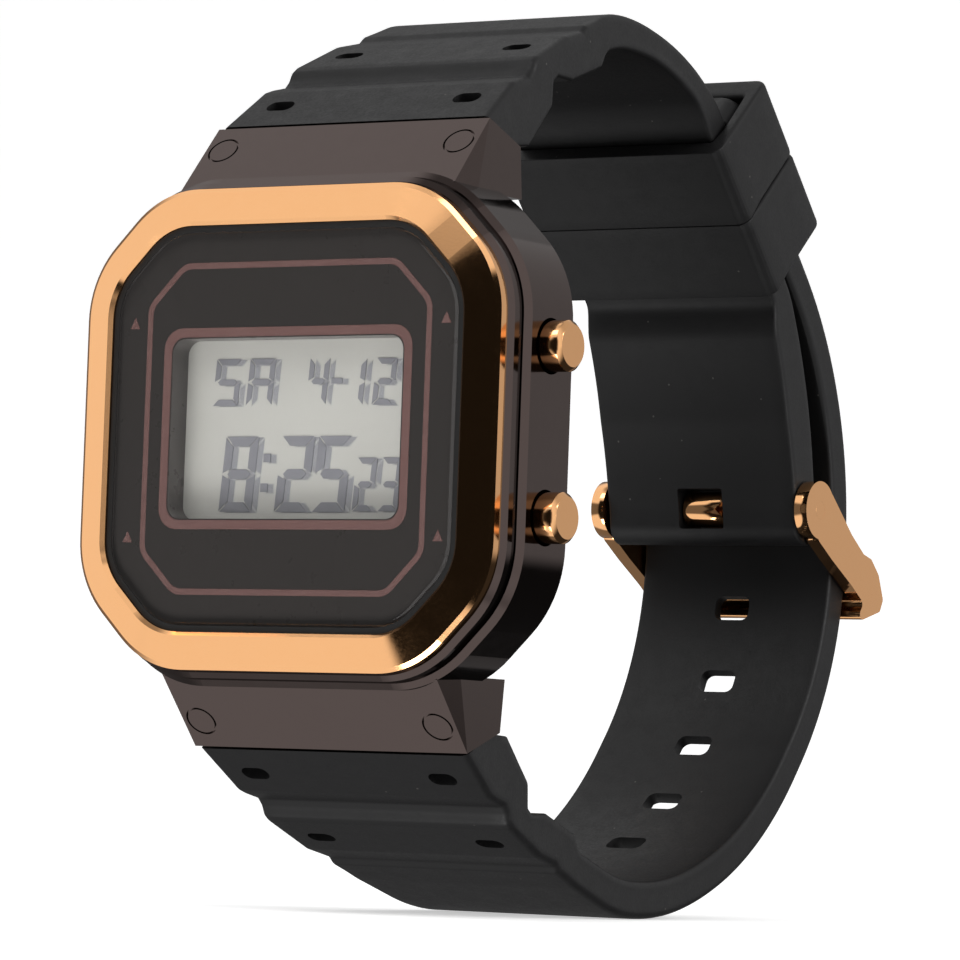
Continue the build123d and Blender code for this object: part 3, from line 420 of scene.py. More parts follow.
def block_cutter(origin, x_axis, z_axis, loop, low, high):
    """A prism to cut with: an outline in the plane of two axes, drawn along their normal."""
    x_axis, z_axis = np.asarray(x_axis, dtype=float), np.asarray(z_axis, dtype=float)
    side = np.cross(z_axis, x_axis)
    loop = np.asarray(loop)
    flat = origin + loop[:, :1] * x_axis + loop[:, 1:] * side
    return capped("cutter", np.stack((flat + z_axis * low, flat + z_axis * high)))


def carve(name, mesh, groups, look):
    """Cuts groups of prisms out of a mesh, one group after another, and returns the finished
    object. The prisms of a group lie clear of each other."""
    thing, tools = finish(name, mesh, look), []
    for prisms in groups:
        build = bmesh.new()
        for prism in prisms:
            build.from_mesh(prism)
        tool_mesh = bpy.data.meshes.new("cutters")
        build.to_mesh(tool_mesh)
        build.free()
        tools.append(finish("cutters", tool_mesh))
        cut = thing.modifiers.new("cut", "BOOLEAN")
        cut.object, cut.solver = tools[-1], "EXACT"
    bpy.context.view_layer.update()
    view = bpy.context.evaluated_depsgraph_get()
    carved = bpy.data.meshes.new_from_object(thing.evaluated_get(view))
    thing.modifiers.clear()
    thing.data = carved
    carved.name = name
    carved.set_sharp_from_angle(angle=SHARP_CUT)
    for tool in tools:
        bpy.data.objects.remove(tool)
    return thing


def across_cutter(centre, radius, half, steps=32):
    """A round bar along X to cut with."""
    turn = np.linspace(0, 2 * pi, steps, endpoint=False)
    loop = np.stack((centre[0] + radius * np.cos(turn), centre[1] + radius * np.sin(turn)), -1)
    sections = [np.concatenate((np.full((steps, 1), x), loop), -1) for x in (-half, half)]
    return capped("bar", np.stack(sections))


def oval(length, width):
    """A slot's outline: two half circles joined by straight sides."""
    turn = np.linspace(-pi / 2, pi / 2, 13)
    cap = np.stack((np.cos(turn), np.sin(turn)), -1) * width / 2
    return np.concatenate((cap + ((length - width) / 2, 0), -cap - ((length - width) / 2, 0)))


def dimple_cutters(route, flip):
    """The two pairs of oval blind holes on the ribs."""
    start, way, out = root_axes(route, flip)
    cutters = []
    for x, distance, floor in DIMPLES:
        spot = start + way * distance
        for side in (-1, 1):
            cutters.append(block_cutter(np.array((side * x, *spot)), (1, 0, 0), (0, *out),
                                        oval(*DIMPLE), floor, RIB_RISE * 2))
    return cutters


def channel_cutter(route):
    """The shallow channel that the holes open into on the outside: a band along the route."""
    last_hole = FIRST_HOLE + HOLE_STEP * (HOLES - 1)
    spot, heading = route.at(np.linspace(FIRST_HOLE - CHANNEL_RUN_OUT,
                                         last_hole + CHANNEL_RUN_OUT, 120))
    outward = np.stack((heading[:, 1], -heading[:, 0]), -1)
    sections = []
    for side, depth in ((-1, CHANNEL_DEPTH), (1, CHANNEL_DEPTH), (1, -CUT_PROUD),
                        (-1, -CUT_PROUD)):
        x = np.full((len(spot), 1), side * CHANNEL_WIDTH / 2)
        side_view = spot + outward * (TAIL_THICKNESS / 2 - depth)
        sections.append(np.concatenate((x, side_view), -1))
    return capped("channel", np.stack(sections, 1))


def hole_cutters(route):
    """The adjusting holes, square through the band at even steps along the route."""
    cutters = []
    for step in range(HOLES):
        place, way = route.at(FIRST_HOLE + HOLE_STEP * step)
        out = (way[0][1], -way[0][0])
        cutters.append(block_cutter(np.array((0.0, *place[0])), (1, 0, 0), (0, *out),
                                    box_loop(*HOLE), -CUT_HOLE, CUT_HOLE))
    return cutters


def strap_half(name, route, flip, outer_stops, inner_stops, look):
    """One strap half as one closed surface: ribs and pads at the case, the band, and its end. The
    12 o'clock half ends in a half round nose, with the pin's bore and the window for the tongue's
    barrel. The 6 o'clock half ends in a tip with rounded corners."""
    rib, pad = root_lines(route, flip, outer_stops)
    marks = np.linspace(0, route.length, int(route.length / BAND_STEP))[1:]
    if flip < 0:
        tip = route.length - TIP_ROUND * (1 - np.sin(np.linspace(0, pi / 2, 14)))
        marks = np.concatenate((marks[marks < tip[0] - TIP_CLEAR], tip))
    spot, heading = route.at(marks)
    left = np.stack((-heading[:, 1], heading[:, 0]), -1) * flip
    half, deep = [np.interp(marks / route.length, *stops)[:, None] / 2
                  for stops in (outer_stops, inner_stops)]
    outer = eased(np.concatenate((rib, spot + left * half)))
    inner = eased(np.concatenate((pad, spot - left * deep)))
    groups = [dimple_cutters(route, flip)]
    if flip > 0:
        turn = np.linspace(0, pi / 2, 12)[:-1, None]
        nose = spot[-1] + heading[-1] * (END_TAIL + half[-1] * np.sin(turn))
        outer = np.concatenate((outer, nose + left[-1] * half[-1] * np.cos(turn)))
        inner = np.concatenate((inner, nose - left[-1] * half[-1] * np.cos(turn)))
        limit = np.full(len(outer), NO_LIMIT)
        groups.append([across_cutter(PIN_CENTRE, PIN_BORE, CUT_THROUGH)])
        groups.append([block_cutter(np.array((0.0, *PIN_CENTRE)), (1, 0, 0), (0, 1, 0),
                                    box_loop(*BARREL_WINDOW), -CUT_BARREL, CUT_BARREL)])
    else:
        room = np.minimum(route.length - marks, TIP_ROUND)
        narrow = STRAP_WIDTH / 2 - TIP_ROUND + np.sqrt(TIP_ROUND ** 2 - (TIP_ROUND - room) ** 2)
        limit = np.concatenate((np.full(len(rib), NO_LIMIT),
                                np.where(room < TIP_ROUND, narrow, NO_LIMIT)))
        groups[0] += hole_cutters(route)
        groups.append([channel_cutter(route)])
    return carve(name, capped(name, strap_sections(outer, inner, limit)), groups, look)


def end_block(name, flip, look):
    """The narrow end between the ears: at each angle round the spring bar, the section runs from
    the bar's bore out to where that direction meets the block's outline."""
    way = unit(np.array(HOOD_TIP) - np.array(HOOD_FOOT))
    inward = np.array((way[1], -way[0]))
    bar, heel = np.array(BAR_CENTRE), np.array(EAR_HEEL)
    hood = np.array(HOOD_TIP) + inward * HOOD_WALL
    corners = [bar - inward * BLOCK_REACH, hood + way * BLOCK_LAP, heel + (0.0, BLOCK_REACH), heel,
               bar + (BLOCK_REACH, 0.0), bar + (BLOCK_CORNER, -BLOCK_CORNER),
               bar + (0.0, -BLOCK_REACH), bar + (-BLOCK_CORNER, -BLOCK_CORNER)]
    corners = np.array(corners) - bar
    corners = corners[np.argsort(np.arctan2(corners[:, 1], corners[:, 0]))]
    turn = np.linspace(-pi, pi, BLOCK_STATIONS + 1)[:-1]
    ray = np.stack((np.cos(turn), np.sin(turn)), -1)
    reach, slack = np.zeros(len(turn)), 1e-6
    for a, b in zip(corners, np.roll(corners, -1, axis=0)):
        edge = b - a
        det = ray[:, 0] * edge[1] - ray[:, 1] * edge[0]
        far = (a[0] * edge[1] - a[1] * edge[0]) / det
        share = (a[0] * ray[:, 1] - a[1] * ray[:, 0]) / det
        reach = np.where((share >= -slack) & (share <= 1 + slack) & (far > 0), far, reach)
    shape = rounded_section(6, 4)
    outer = ray * np.maximum(reach, BLOCK_LEAST)[:, None]
    side_view = section_through(shape, ray * BAR_RADIUS, outer, BLOCK_ROUND)[0] + bar
    side_view[..., 1] *= flip
    x = section_across(shape, EAR_INNER - BLOCK_GAP, BLOCK_ROUND)
    x = np.broadcast_to(x, side_view.shape[:2])
    return finish(name, ring(name, np.concatenate((x[..., None], side_view), -1)), look)


def dense(loop, steps=4):
    """An outline with each of its sides divided into equal steps."""
    share = np.linspace(0, 1, steps + 1)[:-1, None, None]
    return (loop[None] * (1 - share) + np.roll(loop, -1, axis=0)[None] * share).transpose(
        1, 0, 2).reshape(-1, 2)


def keeper(name, place, look):
    """A moulded loop: at each point round it, a rounded rectangle from the inner outline to the
    outer one, as wide as the keeper."""
    low, high = -(SEAT_THICKNESS / 2 + KEEPER_SLACK), STACK + TAIL_THICKNESS / 2 + KEEPER_SLACK
    spot = SEAT_START + SEAT_WAY * (KEEPER_START + place * (KEEPER_WIDTH + KEEPER_SPLIT)
                                    + KEEPER_WIDTH / 2)
    inner_half = STRAP_WIDTH / 2 + KEEPER_SIDE_SLACK
    inside = dense(box_loop(2 * inner_half, high - low, KEEPER_ROUNDS[0], (0, (low + high) / 2)))
    outside = dense(box_loop(2 * (inner_half + KEEPER_SIDE_WALL), high - low + sum(KEEPER_WALLS),
                             KEEPER_ROUNDS[1],
                             (0, (low + high + KEEPER_WALLS[1] - KEEPER_WALLS[0]) / 2)))
    shape = rounded_section(8, 4)
    corner = np.where(outside[:, 1:] < low, *KEEPER_EDGES)
    flat = section_through(shape, inside, outside, corner)[0]
    ahead = section_across(shape, KEEPER_WIDTH / 2 + KEEPER_SWELL, corner)
    side_view = spot + SEAT_OUT * flat[..., 1:] + SEAT_WAY * ahead[..., None]
    points = np.concatenate((flat[..., :1], side_view), -1)
    return finish(name, ring(name, points), look)


# Display and print

PRINT_THICKNESS = 0.02
OCTAGON = ((27.5, 26.9, 3.4, 1.9), (26.5, 25.9, 3.1, 1.5))  # width, height, cut, corner radius
WINDOW = ((24.0, 16.3, 1.7), (22.5, 14.8, 1.2))             # width, height, corner radius
ARROWS = ((-15.0, 8.6), (15.1, 8.6), (-15.0, -8.8), (15.0, -8.6))
ARROW_HALF, ARROW_FOOT, ARROW_TIP = 0.47, 0.43, 0.5
BAR_LOW, BAR_HIGH, SHADOW_LOW = LCD_FRONT + 0.02, LCD_FRONT + 0.06, LCD_FRONT + 0.01
SHADOW_SHIFT, SHADOW_INSET, SHADOW_SPREAD = np.array((0.55, -0.08)), 0.10, 0.16
LEAN = 0.09
GAP_SHARE, LEAST_GAP = 0.07, 0.04
DOT = 0.7
BARS = {"1": "bc", "2": "abged", "3": "abgcd", "4": "fgbc", "5": "afgcd", "8": "abcdefg",
        "A": "abcefg", "S": "afgcd"}


def bar_shapes(width, height, thick, gap):
    """The seven bars of a character as outlines from its lower left corner: upright bars with
    slanted ends, and level bars fitted between them."""
    t, h, w, m = thick, height, width, height / 2

    def level(z, up):
        """A level bar, with the slants on the side that up says, or pointed ends where it's 0."""
        if up == 0:
            return [(gap + t / 2, z), (gap + t, z + t / 2), (w - gap - t, z + t / 2),
                    (w - gap - t / 2, z), (w - gap - t, z - t / 2), (gap + t, z - t / 2)]
        return [(gap, z), (w - gap, z), (w - gap - t, z - up * t), (gap + t, z - up * t)]

    def upright(x, low, high, side):
        """An upright bar, with a longer slant at the character's top or foot than at its middle."""
        inner = x - side * t
        top_cut, bottom_cut = (t, t / 2) if high > m + t else (t / 2, t)
        return [(x, low + gap), (inner, low + gap + bottom_cut), (inner, high - gap - top_cut),
                (x, high - gap)]

    return {"a": level(h, 1), "d": level(0, -1), "g": level(m, 0), "b": upright(w, m, h, 1),
            "c": upright(w, 0, m, 1), "f": upright(0, m, h, -1), "e": upright(0, 0, m, -1)}


def characters(text, places, base, width, height, thick):
    """Outlines of a row of characters, leaning to the right."""
    shapes = bar_shapes(width, height, thick, GAP_SHARE * thick + LEAST_GAP)
    loops = []
    for mark, x in zip(text, places):
        for key in BARS[mark]:
            loop = np.array(shapes[key])
            loops.append(np.stack((x + loop[:, 0] + loop[:, 1] * LEAN, base + loop[:, 1]), -1))
    return loops


def dot(x, z):
    """A square dot's outline from its lower left corner."""
    return (x, z), (x + DOT, z), (x + DOT, z + DOT), (x, z + DOT)


# A row of characters has its text, left edges, foot, and each one's width, height and thickness.
# The dash and the dots are outlines.
DISPLAY = (("SA", (-8.6, -5.3), 2.0, 2.5, 3.8, 0.5),
           ("4", (0.55,), 2.0, 1.9, 3.8, 0.48),
           ((2.95, 3.7), (4.0, 3.7), (4.04, 4.15), (2.99, 4.15)),
           ("12", (4.0, 6.9), 1.95, 2.0, 3.75, 0.48),
           ("825", (-7.6, -2.15, 1.45), -6.6, 3.2, 6.1, 0.78),
           dot(-3.35, -2.6),
           dot(-3.55, -5.0),
           ("23", (5.35, 7.75), -6.55, 1.95, 4.3, 0.5))


def display_loops():
    """The outlines of everything that the display shows."""
    loops = []
    for row in DISPLAY:
        loops += characters(*row) if isinstance(row[0], str) else [np.array(row)]
    return loops


def shadow_mesh(name, loops):
    """A soft shadow under each plate: its outline moved, then a rim that spreads out to nothing.
    The strength falls from one inside to zero at the rim, as the attribute fade."""
    points, faces, fade = [], [], []
    for loop in loops:
        loop = np.asarray(loop) + SHADOW_SHIFT
        n, base = len(loop), len(points)
        away = unit(loop - loop.mean(axis=0))
        for offset, value in ((-SHADOW_INSET, 1.0), (SHADOW_SPREAD, 0.0)):
            points.extend(on_dial(loop + away * offset, SHADOW_LOW).tolist())
            fade.extend([value] * n)
        faces.append(list(range(base, base + n)))
        faces.extend(wall(base, n))
    mesh = shell(name, points, faces)
    strength = mesh.attributes.new("fade", "FLOAT", "POINT")
    strength.data.foreach_set("value", np.array(fade, dtype=np.float32))
    return mesh


# Materials

class Tree:
    """Adds nodes to a material or a group. Inputs are given by name, as a value or as the output
    of another node."""

    def __init__(self, tree):
        self.tree = tree

    def feed(self, value, socket):
        """Links another node's output to an input, or sets the input to a value."""
        if isinstance(value, bpy.types.NodeSocket):
            self.tree.links.new(value, socket)
        else:
            socket.default_value = value

    def add(self, kind, inputs=None, **settings):
        """A node of a kind, with its inputs and settings."""
        node = self.tree.nodes.new(kind if kind.startswith("Node") else "ShaderNode" + kind)
        for key, value in settings.items():
            setattr(node, key, value)
        for key, value in (inputs or {}).items():
            self.feed(value, node.inputs[key])
        return node

    def mix(self, share, a, b):
        """Two colours mixed by a share of the second."""
        node = self.add("Mix", data_type="RGBA")
        for name, value in (("Factor", share), ("A", a), ("B", b)):
            if isinstance(value, tuple) and len(value) == 3:
                value = (*value, 1.0)
            self.feed(value, next(s for s in node.inputs if s.name == name and s.enabled))
        return next(s for s in node.outputs if s.enabled)

    def math(self, operation, *values):
        """A sum, product or other operation on values."""
        node = self.add("Math", operation=operation)
        for socket, value in zip(node.inputs, values):
            self.feed(value, socket)
        return node.outputs[0]


def group(name, inputs, outputs):
    """A shader node group with named inputs (name, kind, default) and outputs (name, kind)."""
    tree = bpy.data.node_groups.new(name, "ShaderNodeTree")
    for label, kind, default in inputs:
        socket = tree.interface.new_socket(label, in_out="INPUT", socket_type="NodeSocket" + kind)
        if default is not None:
            socket.default_value = default
    for label, kind in outputs:
        tree.interface.new_socket(label, in_out="OUTPUT", socket_type="NodeSocket" + kind)
    build = Tree(tree)
    return build, build.add("NodeGroupInput").outputs, build.add("NodeGroupOutput")


def grain_group():
    """Fine grain: two sizes of noise, given as a value about one half and as a bumped normal."""
    t, given, out = group("grain", (("Vector", "Vector", None), ("Scale", "Float", 2000.0),
                                    ("Depth", "Float", 0.00002), ("Strength", "Float", 0.3)),
                          (("Value", "Float"), ("Normal", "Vector")))
    fine = t.add("TexNoise", {"Vector": given["Vector"], "Scale": given["Scale"], "Detail": 3.0,
                              "Roughness": 0.6}).outputs[0]
    wide = t.add("TexNoise", {"Vector": given["Vector"],
                              "Scale": t.math("MULTIPLY", given["Scale"], 0.17),
                              "Detail": 2.0}).outputs[0]
    value = t.math("ADD", t.math("MULTIPLY", fine, 0.65), t.math("MULTIPLY", wide, 0.35))
    bump = t.add("Bump", {"Height": value, "Distance": given["Depth"],
                          "Strength": given["Strength"]}).outputs[0]
    t.tree.links.new(value, out.inputs["Value"])
    t.tree.links.new(bump, out.inputs["Normal"])
    return t.tree


def speck_group():
    """Specks of dust: round cells kept where a random value of theirs is low enough, in patches
    of wide noise."""
    t, given, out = group("specks", (("Vector", "Vector", None), ("Scale", "Float", 900.0),
                                     ("Size", "Float", 0.18), ("Amount", "Float", 0.3)),
                          (("Mask", "Float"),))
    cells = t.add("TexVoronoi", {"Vector": given["Vector"], "Scale": given["Scale"]})
    inside = t.math("LESS_THAN", cells.outputs["Distance"], given["Size"])
    lot = t.add("SeparateColor", {"Color": cells.outputs["Color"]}).outputs[0]
    kept = t.math("LESS_THAN", lot, given["Amount"])
    patches = t.add("TexNoise", {"Vector": given["Vector"], "Scale": 180.0, "Detail": 2.0})
    here = t.math("GREATER_THAN", patches.outputs[0], 0.5)
    mask = t.math("MULTIPLY", t.math("MULTIPLY", inside, kept), here)
    t.tree.links.new(mask, out.inputs["Mask"])
    return t.tree


GRAIN, SPECKS = grain_group(), speck_group()


def blank(name):
    """A new material, its tree and its surface shader."""
    made = bpy.data.materials.new(name)
    made.use_nodes = True
    return made, Tree(made.node_tree), made.node_tree.nodes["Principled BSDF"]


def material(name, colour, second, roughness, scale, metallic=0.0, depth=0.00001, strength=0.2,
             spread=0.1, specks=None, stretch=(1.0, 1.0, 1.0), **sockets):
    """A finish: two colours mixed by the grain, roughness spread by the same grain, a bumped
    normal, and specks of a third colour where given."""
    made, t, surface = blank(name)
    place = t.add("TexCoord").outputs["Object"]
    place = t.add("Mapping", {"Vector": place, "Scale": stretch}).outputs[0]
    grain = t.add("Group", {"Vector": place, "Scale": scale, "Depth": depth,
                            "Strength": strength}, node_tree=GRAIN).outputs
    base = t.mix(grain["Value"], colour, second)
    rough = t.add("MapRange", {"Value": grain["Value"], "From Min": 0.3, "From Max": 0.7,
                               "To Min": max(roughness - spread, LEAST_ROUGHNESS),
                               "To Max": roughness + spread}).outputs[0]
    if specks:
        dust_colour, settings = specks
        dust = t.add("Group", {"Vector": place, **settings}, node_tree=SPECKS)
        base = t.mix(dust.outputs["Mask"], base, dust_colour)
    for key, value in (("Base Color", base), ("Roughness", rough), ("Normal", grain["Normal"]),
                       ("Metallic", metallic), *sockets.items()):
        t.feed(value, surface.inputs[key.replace("_", " ")])
    return made


def glass_material():
    """Clear mineral glass that lets lamp light through to the panel below."""
    made, t, surface = blank("mineral glass")
    place = t.add("TexCoord").outputs["Object"]
    smears = t.add("TexNoise", {"Vector": place, "Scale": 160.0, "Detail": 4.0}).outputs[0]
    rough = t.add("MapRange", {"Value": smears, "From Min": 0.45, "From Max": 0.75, "To Min": 0.0,
                               "To Max": 0.06}).outputs[0]
    for key, value in (("Roughness", rough), ("Base Color", (0.98, 0.98, 0.98, 1.0)),
                       ("Transmission Weight", 1.0), ("IOR", 1.5)):
        t.feed(value, surface.inputs[key])
    clear = t.add("BsdfTransparent")
    path = t.add("LightPath")
    both = t.add("MixShader", {0: path.outputs["Is Shadow Ray"], 1: surface.outputs[0],
                               2: clear.outputs[0]})
    end = next(n for n in made.node_tree.nodes if n.type == "OUTPUT_MATERIAL")
    t.feed(both.outputs[0], end.inputs["Surface"])
    return made


def shadow_material():
    """The display's soft shadow: blue-grey, as strong as the attribute fade says."""
    made, t, surface = blank("display shadow")
    fade = t.add("Attribute", attribute_name="fade").outputs["Fac"]
    place = t.add("TexCoord").outputs["Object"]
    cloud = t.add("TexNoise", {"Vector": place, "Scale": 500.0}).outputs[0]
    alpha = t.math("MULTIPLY", fade, t.math("ADD", 0.32, t.math("MULTIPLY", cloud, 0.16)))
    for key, value in (("Alpha", alpha), ("Base Color", (0.20, 0.21, 0.27, 1.0)),
                       ("Roughness", 0.6)):
        t.feed(value, surface.inputs[key])
    return made


LEAST_ROUGHNESS = 0.02
DUST = ((0.08, 0.075, 0.07, 1.0), {"Scale": 1500.0, "Size": 0.14, "Amount": 0.04})

ROSE_GOLD = material("rose gold", (0.96, 0.50, 0.22), (0.98, 0.53, 0.25), 0.09, 4200.0,
                     metallic=1.0, strength=0.08, spread=0.03)
PLATING = material("case plating", (0.088, 0.066, 0.061), (0.100, 0.076, 0.070), 0.10, 900.0,
                   metallic=1.0, strength=0.04, spread=0.03)
RESIN = material("strap resin", (0.0095, 0.0093, 0.0097), (0.015, 0.0147, 0.0152), 0.48, 4200.0,
                 depth=0.00004, strength=0.35, specks=DUST, Specular_IOR_Level=0.25)
PANEL = material("panel print", (0.080, 0.072, 0.068), (0.086, 0.077, 0.073), 0.3, 800.0,
                 strength=0.03, spread=0.04)
RED_LINE = material("red print", (0.135, 0.066, 0.059), (0.155, 0.078, 0.070), 0.4, 3000.0)
LCD = material("display glass", (0.48, 0.475, 0.44), (0.515, 0.51, 0.475), 0.35, 400.0)
SEGMENT = material("display bars", (0.20, 0.20, 0.22), (0.24, 0.24, 0.26), 0.4, 900.0)
GLASS, SHADOW = glass_material(), shadow_material()
BLACK_RUBBER = material("seal rubber", (0.008, 0.008, 0.008), (0.015, 0.015, 0.015), 0.55, 5000.0,
                        depth=0.00002, strength=0.3)
STEEL = material("brushed steel", (0.50, 0.50, 0.49), (0.62, 0.62, 0.61), 0.28, 1800.0,
                 metallic=1.0, depth=0.00002, spread=0.08, stretch=(0.08, 1.0, 1.0))
SPRING = material("spring steel", (0.45, 0.44, 0.42), (0.58, 0.57, 0.54), 0.22, 3000.0,
                  metallic=1.0)
BRASS = material("buzzer brass", (0.66, 0.47, 0.20), (0.78, 0.60, 0.30), 0.3, 2500.0,
                 metallic=1.0)
MODULE = material("module plastic", (0.03, 0.03, 0.033), (0.05, 0.05, 0.055), 0.45, 3500.0,
                  depth=0.00002, strength=0.3)
DIFFUSER = material("diffuser plastic", (0.75, 0.76, 0.74), (0.85, 0.86, 0.84), 0.5, 2500.0)
BOARD = material("board laminate", (0.03, 0.16, 0.07), (0.05, 0.22, 0.10), 0.4, 1200.0)

SLOTS = {"case_plating": PLATING, "rose_gold": ROSE_GOLD, "mineral_glass": GLASS,
         "gasket_rubber": BLACK_RUBBER, "printed_panel": PANEL, "lcd_glass": LCD,
         "diffuser_plastic": DIFFUSER, "module_plastic": MODULE, "board_laminate": BOARD,
         "steel": STEEL, "spring_steel": SPRING, "buzzer_brass": BRASS, "strap_rubber": RESIN}

METAL_EDGE, METAL_EDGE_ANGLE = 0.12, radians(28)
MERGE_GAP = 0.001


def soften(node):
    """Rounds a metal piece's sharp edges, after its loose triangles are joined."""
    join = node.modifiers.new("join", "WELD")
    join.merge_threshold = MERGE_GAP * MM
    soft = node.modifiers.new("soft", "BEVEL")
    soft.width, soft.segments, soft.limit_method = METAL_EDGE * MM, 2, "ANGLE"
    soft.angle_limit = METAL_EDGE_ANGLE


for part in frame["record"]["subparts"]:
    node = frame["nodes"][part["node"]]
    if not node.material_slots:
        node.data.materials.append(None)
    for holder in node.material_slots:
        holder.material = SLOTS[part["material_slot"]]
    if part["material_slot"] == "rose_gold" and part["node"] != "bezel":
        soften(node)


# Pieces

def add(piece, body=BODY, replaced=()):
    """Says what a piece rides on, and hides the solids that it stands for."""
    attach(piece, body)
    if replaced:
        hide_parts(*replaced)
    return piece


add(strap_half("upper_band", UPPER, 1, UPPER_OUTER, UPPER_INNER, RESIN),
    replaced=["strap_upper"])
add(strap_half("lower_band", LOWER, -1, LOWER_STOPS, LOWER_STOPS, RESIN),
    replaced=["strap_lower"])
add(end_block("upper_band_end", 1, RESIN))
add(end_block("lower_band_end", -1, RESIN))
for level, place in (("upper", 0), ("lower", 1)):
    add(keeper("moulded_keeper_" + level, place, RESIN), "keeper_" + level,
        ["keeper_" + level])

octagon = line_ring("octagon_line", *[cushion(*sizes) for sizes in OCTAGON])
add(finish("octagon_line", octagon, RED_LINE))
window_line = line_ring("window_line", *[box_loop(*sizes) for sizes in WINDOW])
add(finish("window_line", window_line, RED_LINE))
arrows = [((x - ARROW_HALF, z - ARROW_FOOT), (x + ARROW_HALF, z - ARROW_FOOT), (x, z + ARROW_TIP))
          for x, z in ARROWS]
arrow_marks = plates("arrow_marks", arrows, PANEL_FRONT, PANEL_FRONT + PRINT_THICKNESS)
add(finish("arrow_marks", arrow_marks, RED_LINE))
shown = display_loops()
add(finish("display_bars", plates("display_bars", shown, BAR_LOW, BAR_HIGH), SEGMENT))
add(finish("display_shadow", shadow_mesh("display_shadow", shown), SHADOW))


# Stage, light and camera. Lengths are in metres from here on, but for the backdrop.

FLOOR, BACKDROP_HALF, BACKDROP_TOP = -38.75, 2600.0, 2200.0
CURVE_START, CURVE_RADIUS = 1300.0, 600.0

# A band of azimuth and of height, each from, to and softness in radians, and a grey, in the order
# in which they are laid over the room
ROOM = 0.95
ZONES = (
    ((1.35, 4.0, 0.35), None, 0.52),                        # right
    ((1.35, 4.0, 0.35), (-2.0, -0.10, 0.08), 0.03),         # right, below
    ((-4.0, -1.5, 0.15), (-2.0, 0.65, 0.2), 0.18),          # left
    (None, (1.15, 4.0, 0.12), 0.30),                        # overhead
    ((-1.02, 0.95, 0.06), (-0.32, 0.34, 0.08), 0.16),       # in front, beside the card
    ((-0.47, 0.90, 0.06), (-0.70, 0.55, 0.06), 0.01))       # the card in front of the dial

YAW, PITCH, ROLL = radians(32.388), radians(-3.442), radians(2.042)
DIAL_CENTRE = Vector((0.0, -0.012, 0.0))
DISTANCE, ASIDE, DROP = 0.440087, 0.016103, 0.004228
FOCAL_PIXELS, FRAME_PIXELS, SENSOR = 5510.2, 960.0, 36.0
LAMP_TARGET = (0, 0.02, 0)
LAMPS = (("key", (-0.15, -0.70, 0.95), (0.8, 0.4), 2.5),    # name, place, size, watts
         ("low", (-0.08, -0.70, -0.85), (0.6, 0.4), 5.0),
         ("fill", (0.9, 0.1, 0.25), (0.5, 0.8), 5.0))


def stage():
    """A white floor that curves up into a backdrop: an L-shaped line with a quarter circle."""
    turn = np.linspace(0, pi / 2, 17)
    curve = np.stack((CURVE_START + CURVE_RADIUS * np.sin(turn),
                      FLOOR + CURVE_RADIUS * (1 - np.cos(turn))), -1)
    line = np.concatenate((np.array([(-BACKDROP_HALF, FLOOR)]), curve,
                           np.array([(CURVE_START + CURVE_RADIUS, BACKDROP_TOP)])))
    points = np.stack([np.concatenate((np.full((len(line), 1), x), line), -1)
                       for x in (-BACKDROP_HALF, BACKDROP_HALF)], 1)
    faces = quads(len(line), 2, wrap_columns=False)
    paper = material("pale paper", (0.95, 0.95, 0.95), (0.97, 0.97, 0.97), 0.8, 40.0,
                     Emission_Color=(1.0, 1.0, 1.0, 1.0), Emission_Strength=0.5)
    sweep = finish("backdrop", shell("backdrop", points, faces), paper)
    sweep.visible_diffuse = sweep.visible_glossy = sweep.visible_shadow = False


def area_light(name, place, size, power):
    """A rectangular lamp that faces the watch and doesn't show itself."""
    lamp = bpy.data.lights.new(name, "AREA")
    lamp.shape, lamp.size, lamp.size_y = "RECTANGLE", size[0], size[1]
    lamp.energy = power
    thing = bpy.data.objects.new(name, lamp)
    thing.location = place
    thing.rotation_mode = "QUATERNION"
    thing.rotation_quaternion = (Vector(LAMP_TARGET) - Vector(place)).to_track_quat("-Z", "Y")
    thing.visible_camera = False
    bpy.context.scene.collection.objects.link(thing)


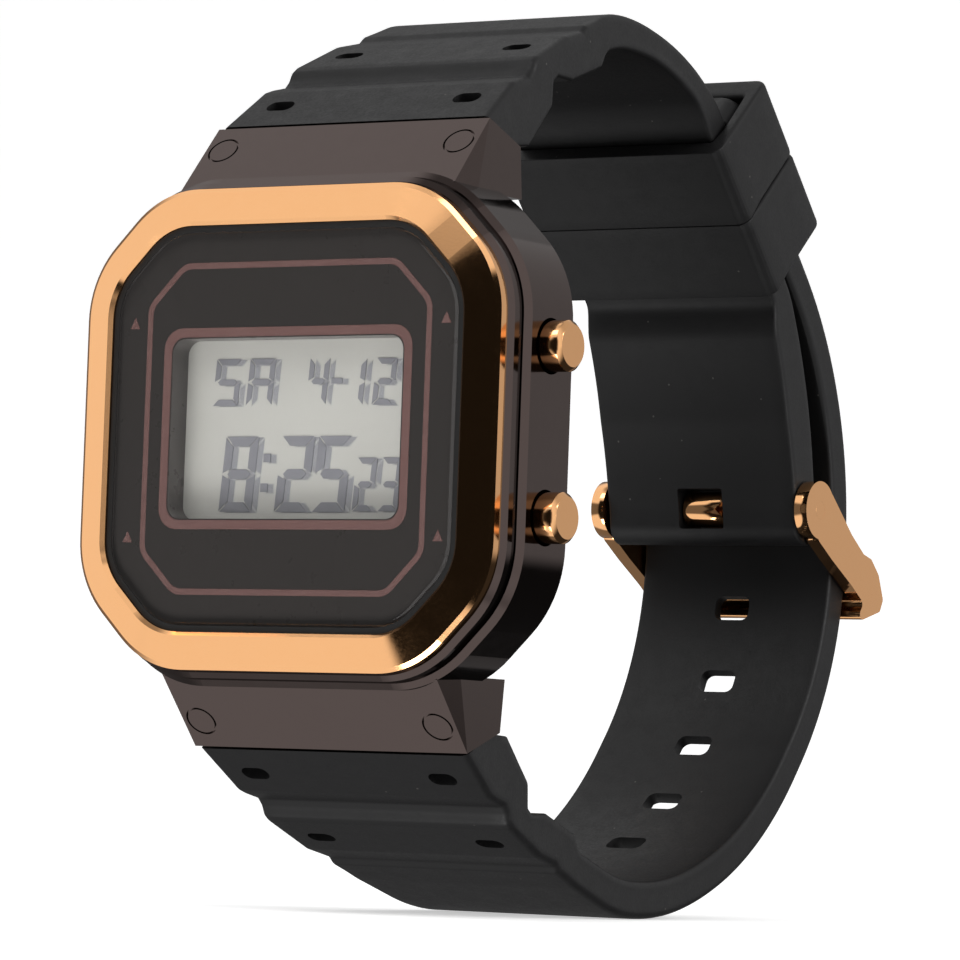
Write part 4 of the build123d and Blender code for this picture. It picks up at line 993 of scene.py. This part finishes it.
def surroundings():
    """White to the camera. For reflections and light, a bright room with grey and dark zones: the
    direction's azimuth and height, both with soft limits, give each zone."""
    world = bpy.data.worlds.new("studio")
    bpy.context.scene.world = world
    world.use_nodes = True
    t = Tree(world.node_tree)
    world.node_tree.nodes.clear()
    way = t.add("SeparateXYZ", {"Vector": t.add("TexCoord").outputs["Generated"]}).outputs
    azimuth = t.math("ARCTAN2", way[0], t.math("MULTIPLY", way[1], -1.0))
    height = t.math("ARCSINE", way[2])

    def inside(value, low, high, soft):
        """One between low and high, and zero outside: a smooth step up times one down."""
        rise = t.add("MapRange", {"Value": value, "From Min": low - soft, "From Max": low + soft},
                     interpolation_type="SMOOTHSTEP").outputs[0]
        fall = t.add("MapRange", {"Value": value, "From Min": high - soft, "From Max": high + soft,
                                  "To Min": 1.0, "To Max": 0.0},
                     interpolation_type="SMOOTHSTEP").outputs[0]
        return t.math("MULTIPLY", rise, fall)

    room = (ROOM,) * 3
    for across, upward, grey in ZONES:
        bands = [inside(value, *band) for value, band in ((azimuth, across), (height, upward))
                 if band]
        zone = t.math("MULTIPLY", *bands) if len(bands) == 2 else bands[0]
        room = t.mix(zone, room, (grey,) * 3)
    seen = t.add("LightPath").outputs["Is Camera Ray"]
    colour = t.mix(seen, room, (1.0, 1.0, 1.0))
    light = t.add("Background", {"Color": colour, "Strength": 1.0})
    t.add("OutputWorld", {"Surface": light.outputs[0]})


def camera():
    """The camera: yaw, pitch and roll round the dial's centre, a distance and a small shift."""
    away = Vector((sin(YAW) * cos(PITCH), -cos(YAW) * cos(PITCH), sin(PITCH)))
    right = Vector((cos(YAW), sin(YAW), 0.0))
    up = right.cross(-away)
    across = right * cos(ROLL) + up * sin(ROLL)
    upward = up * cos(ROLL) - right * sin(ROLL)
    place = away * DISTANCE + across * ASIDE - upward * DROP + DIAL_CENTRE
    data = bpy.data.cameras.new("camera")
    data.lens = FOCAL_PIXELS * SENSOR / FRAME_PIXELS
    data.clip_start, data.clip_end = 0.01, 20.0
    thing = bpy.data.objects.new("camera", data)
    bpy.context.scene.collection.objects.link(thing)
    turn = Matrix((across, upward, away)).transposed()
    thing.matrix_world = Matrix.Translation(place) @ turn.to_4x4()
    bpy.context.scene.camera = thing


stage()
surroundings()
camera()
for lamp in LAMPS:
    area_light(*lamp)
bpy.context.scene.view_settings.view_transform = "Standard"
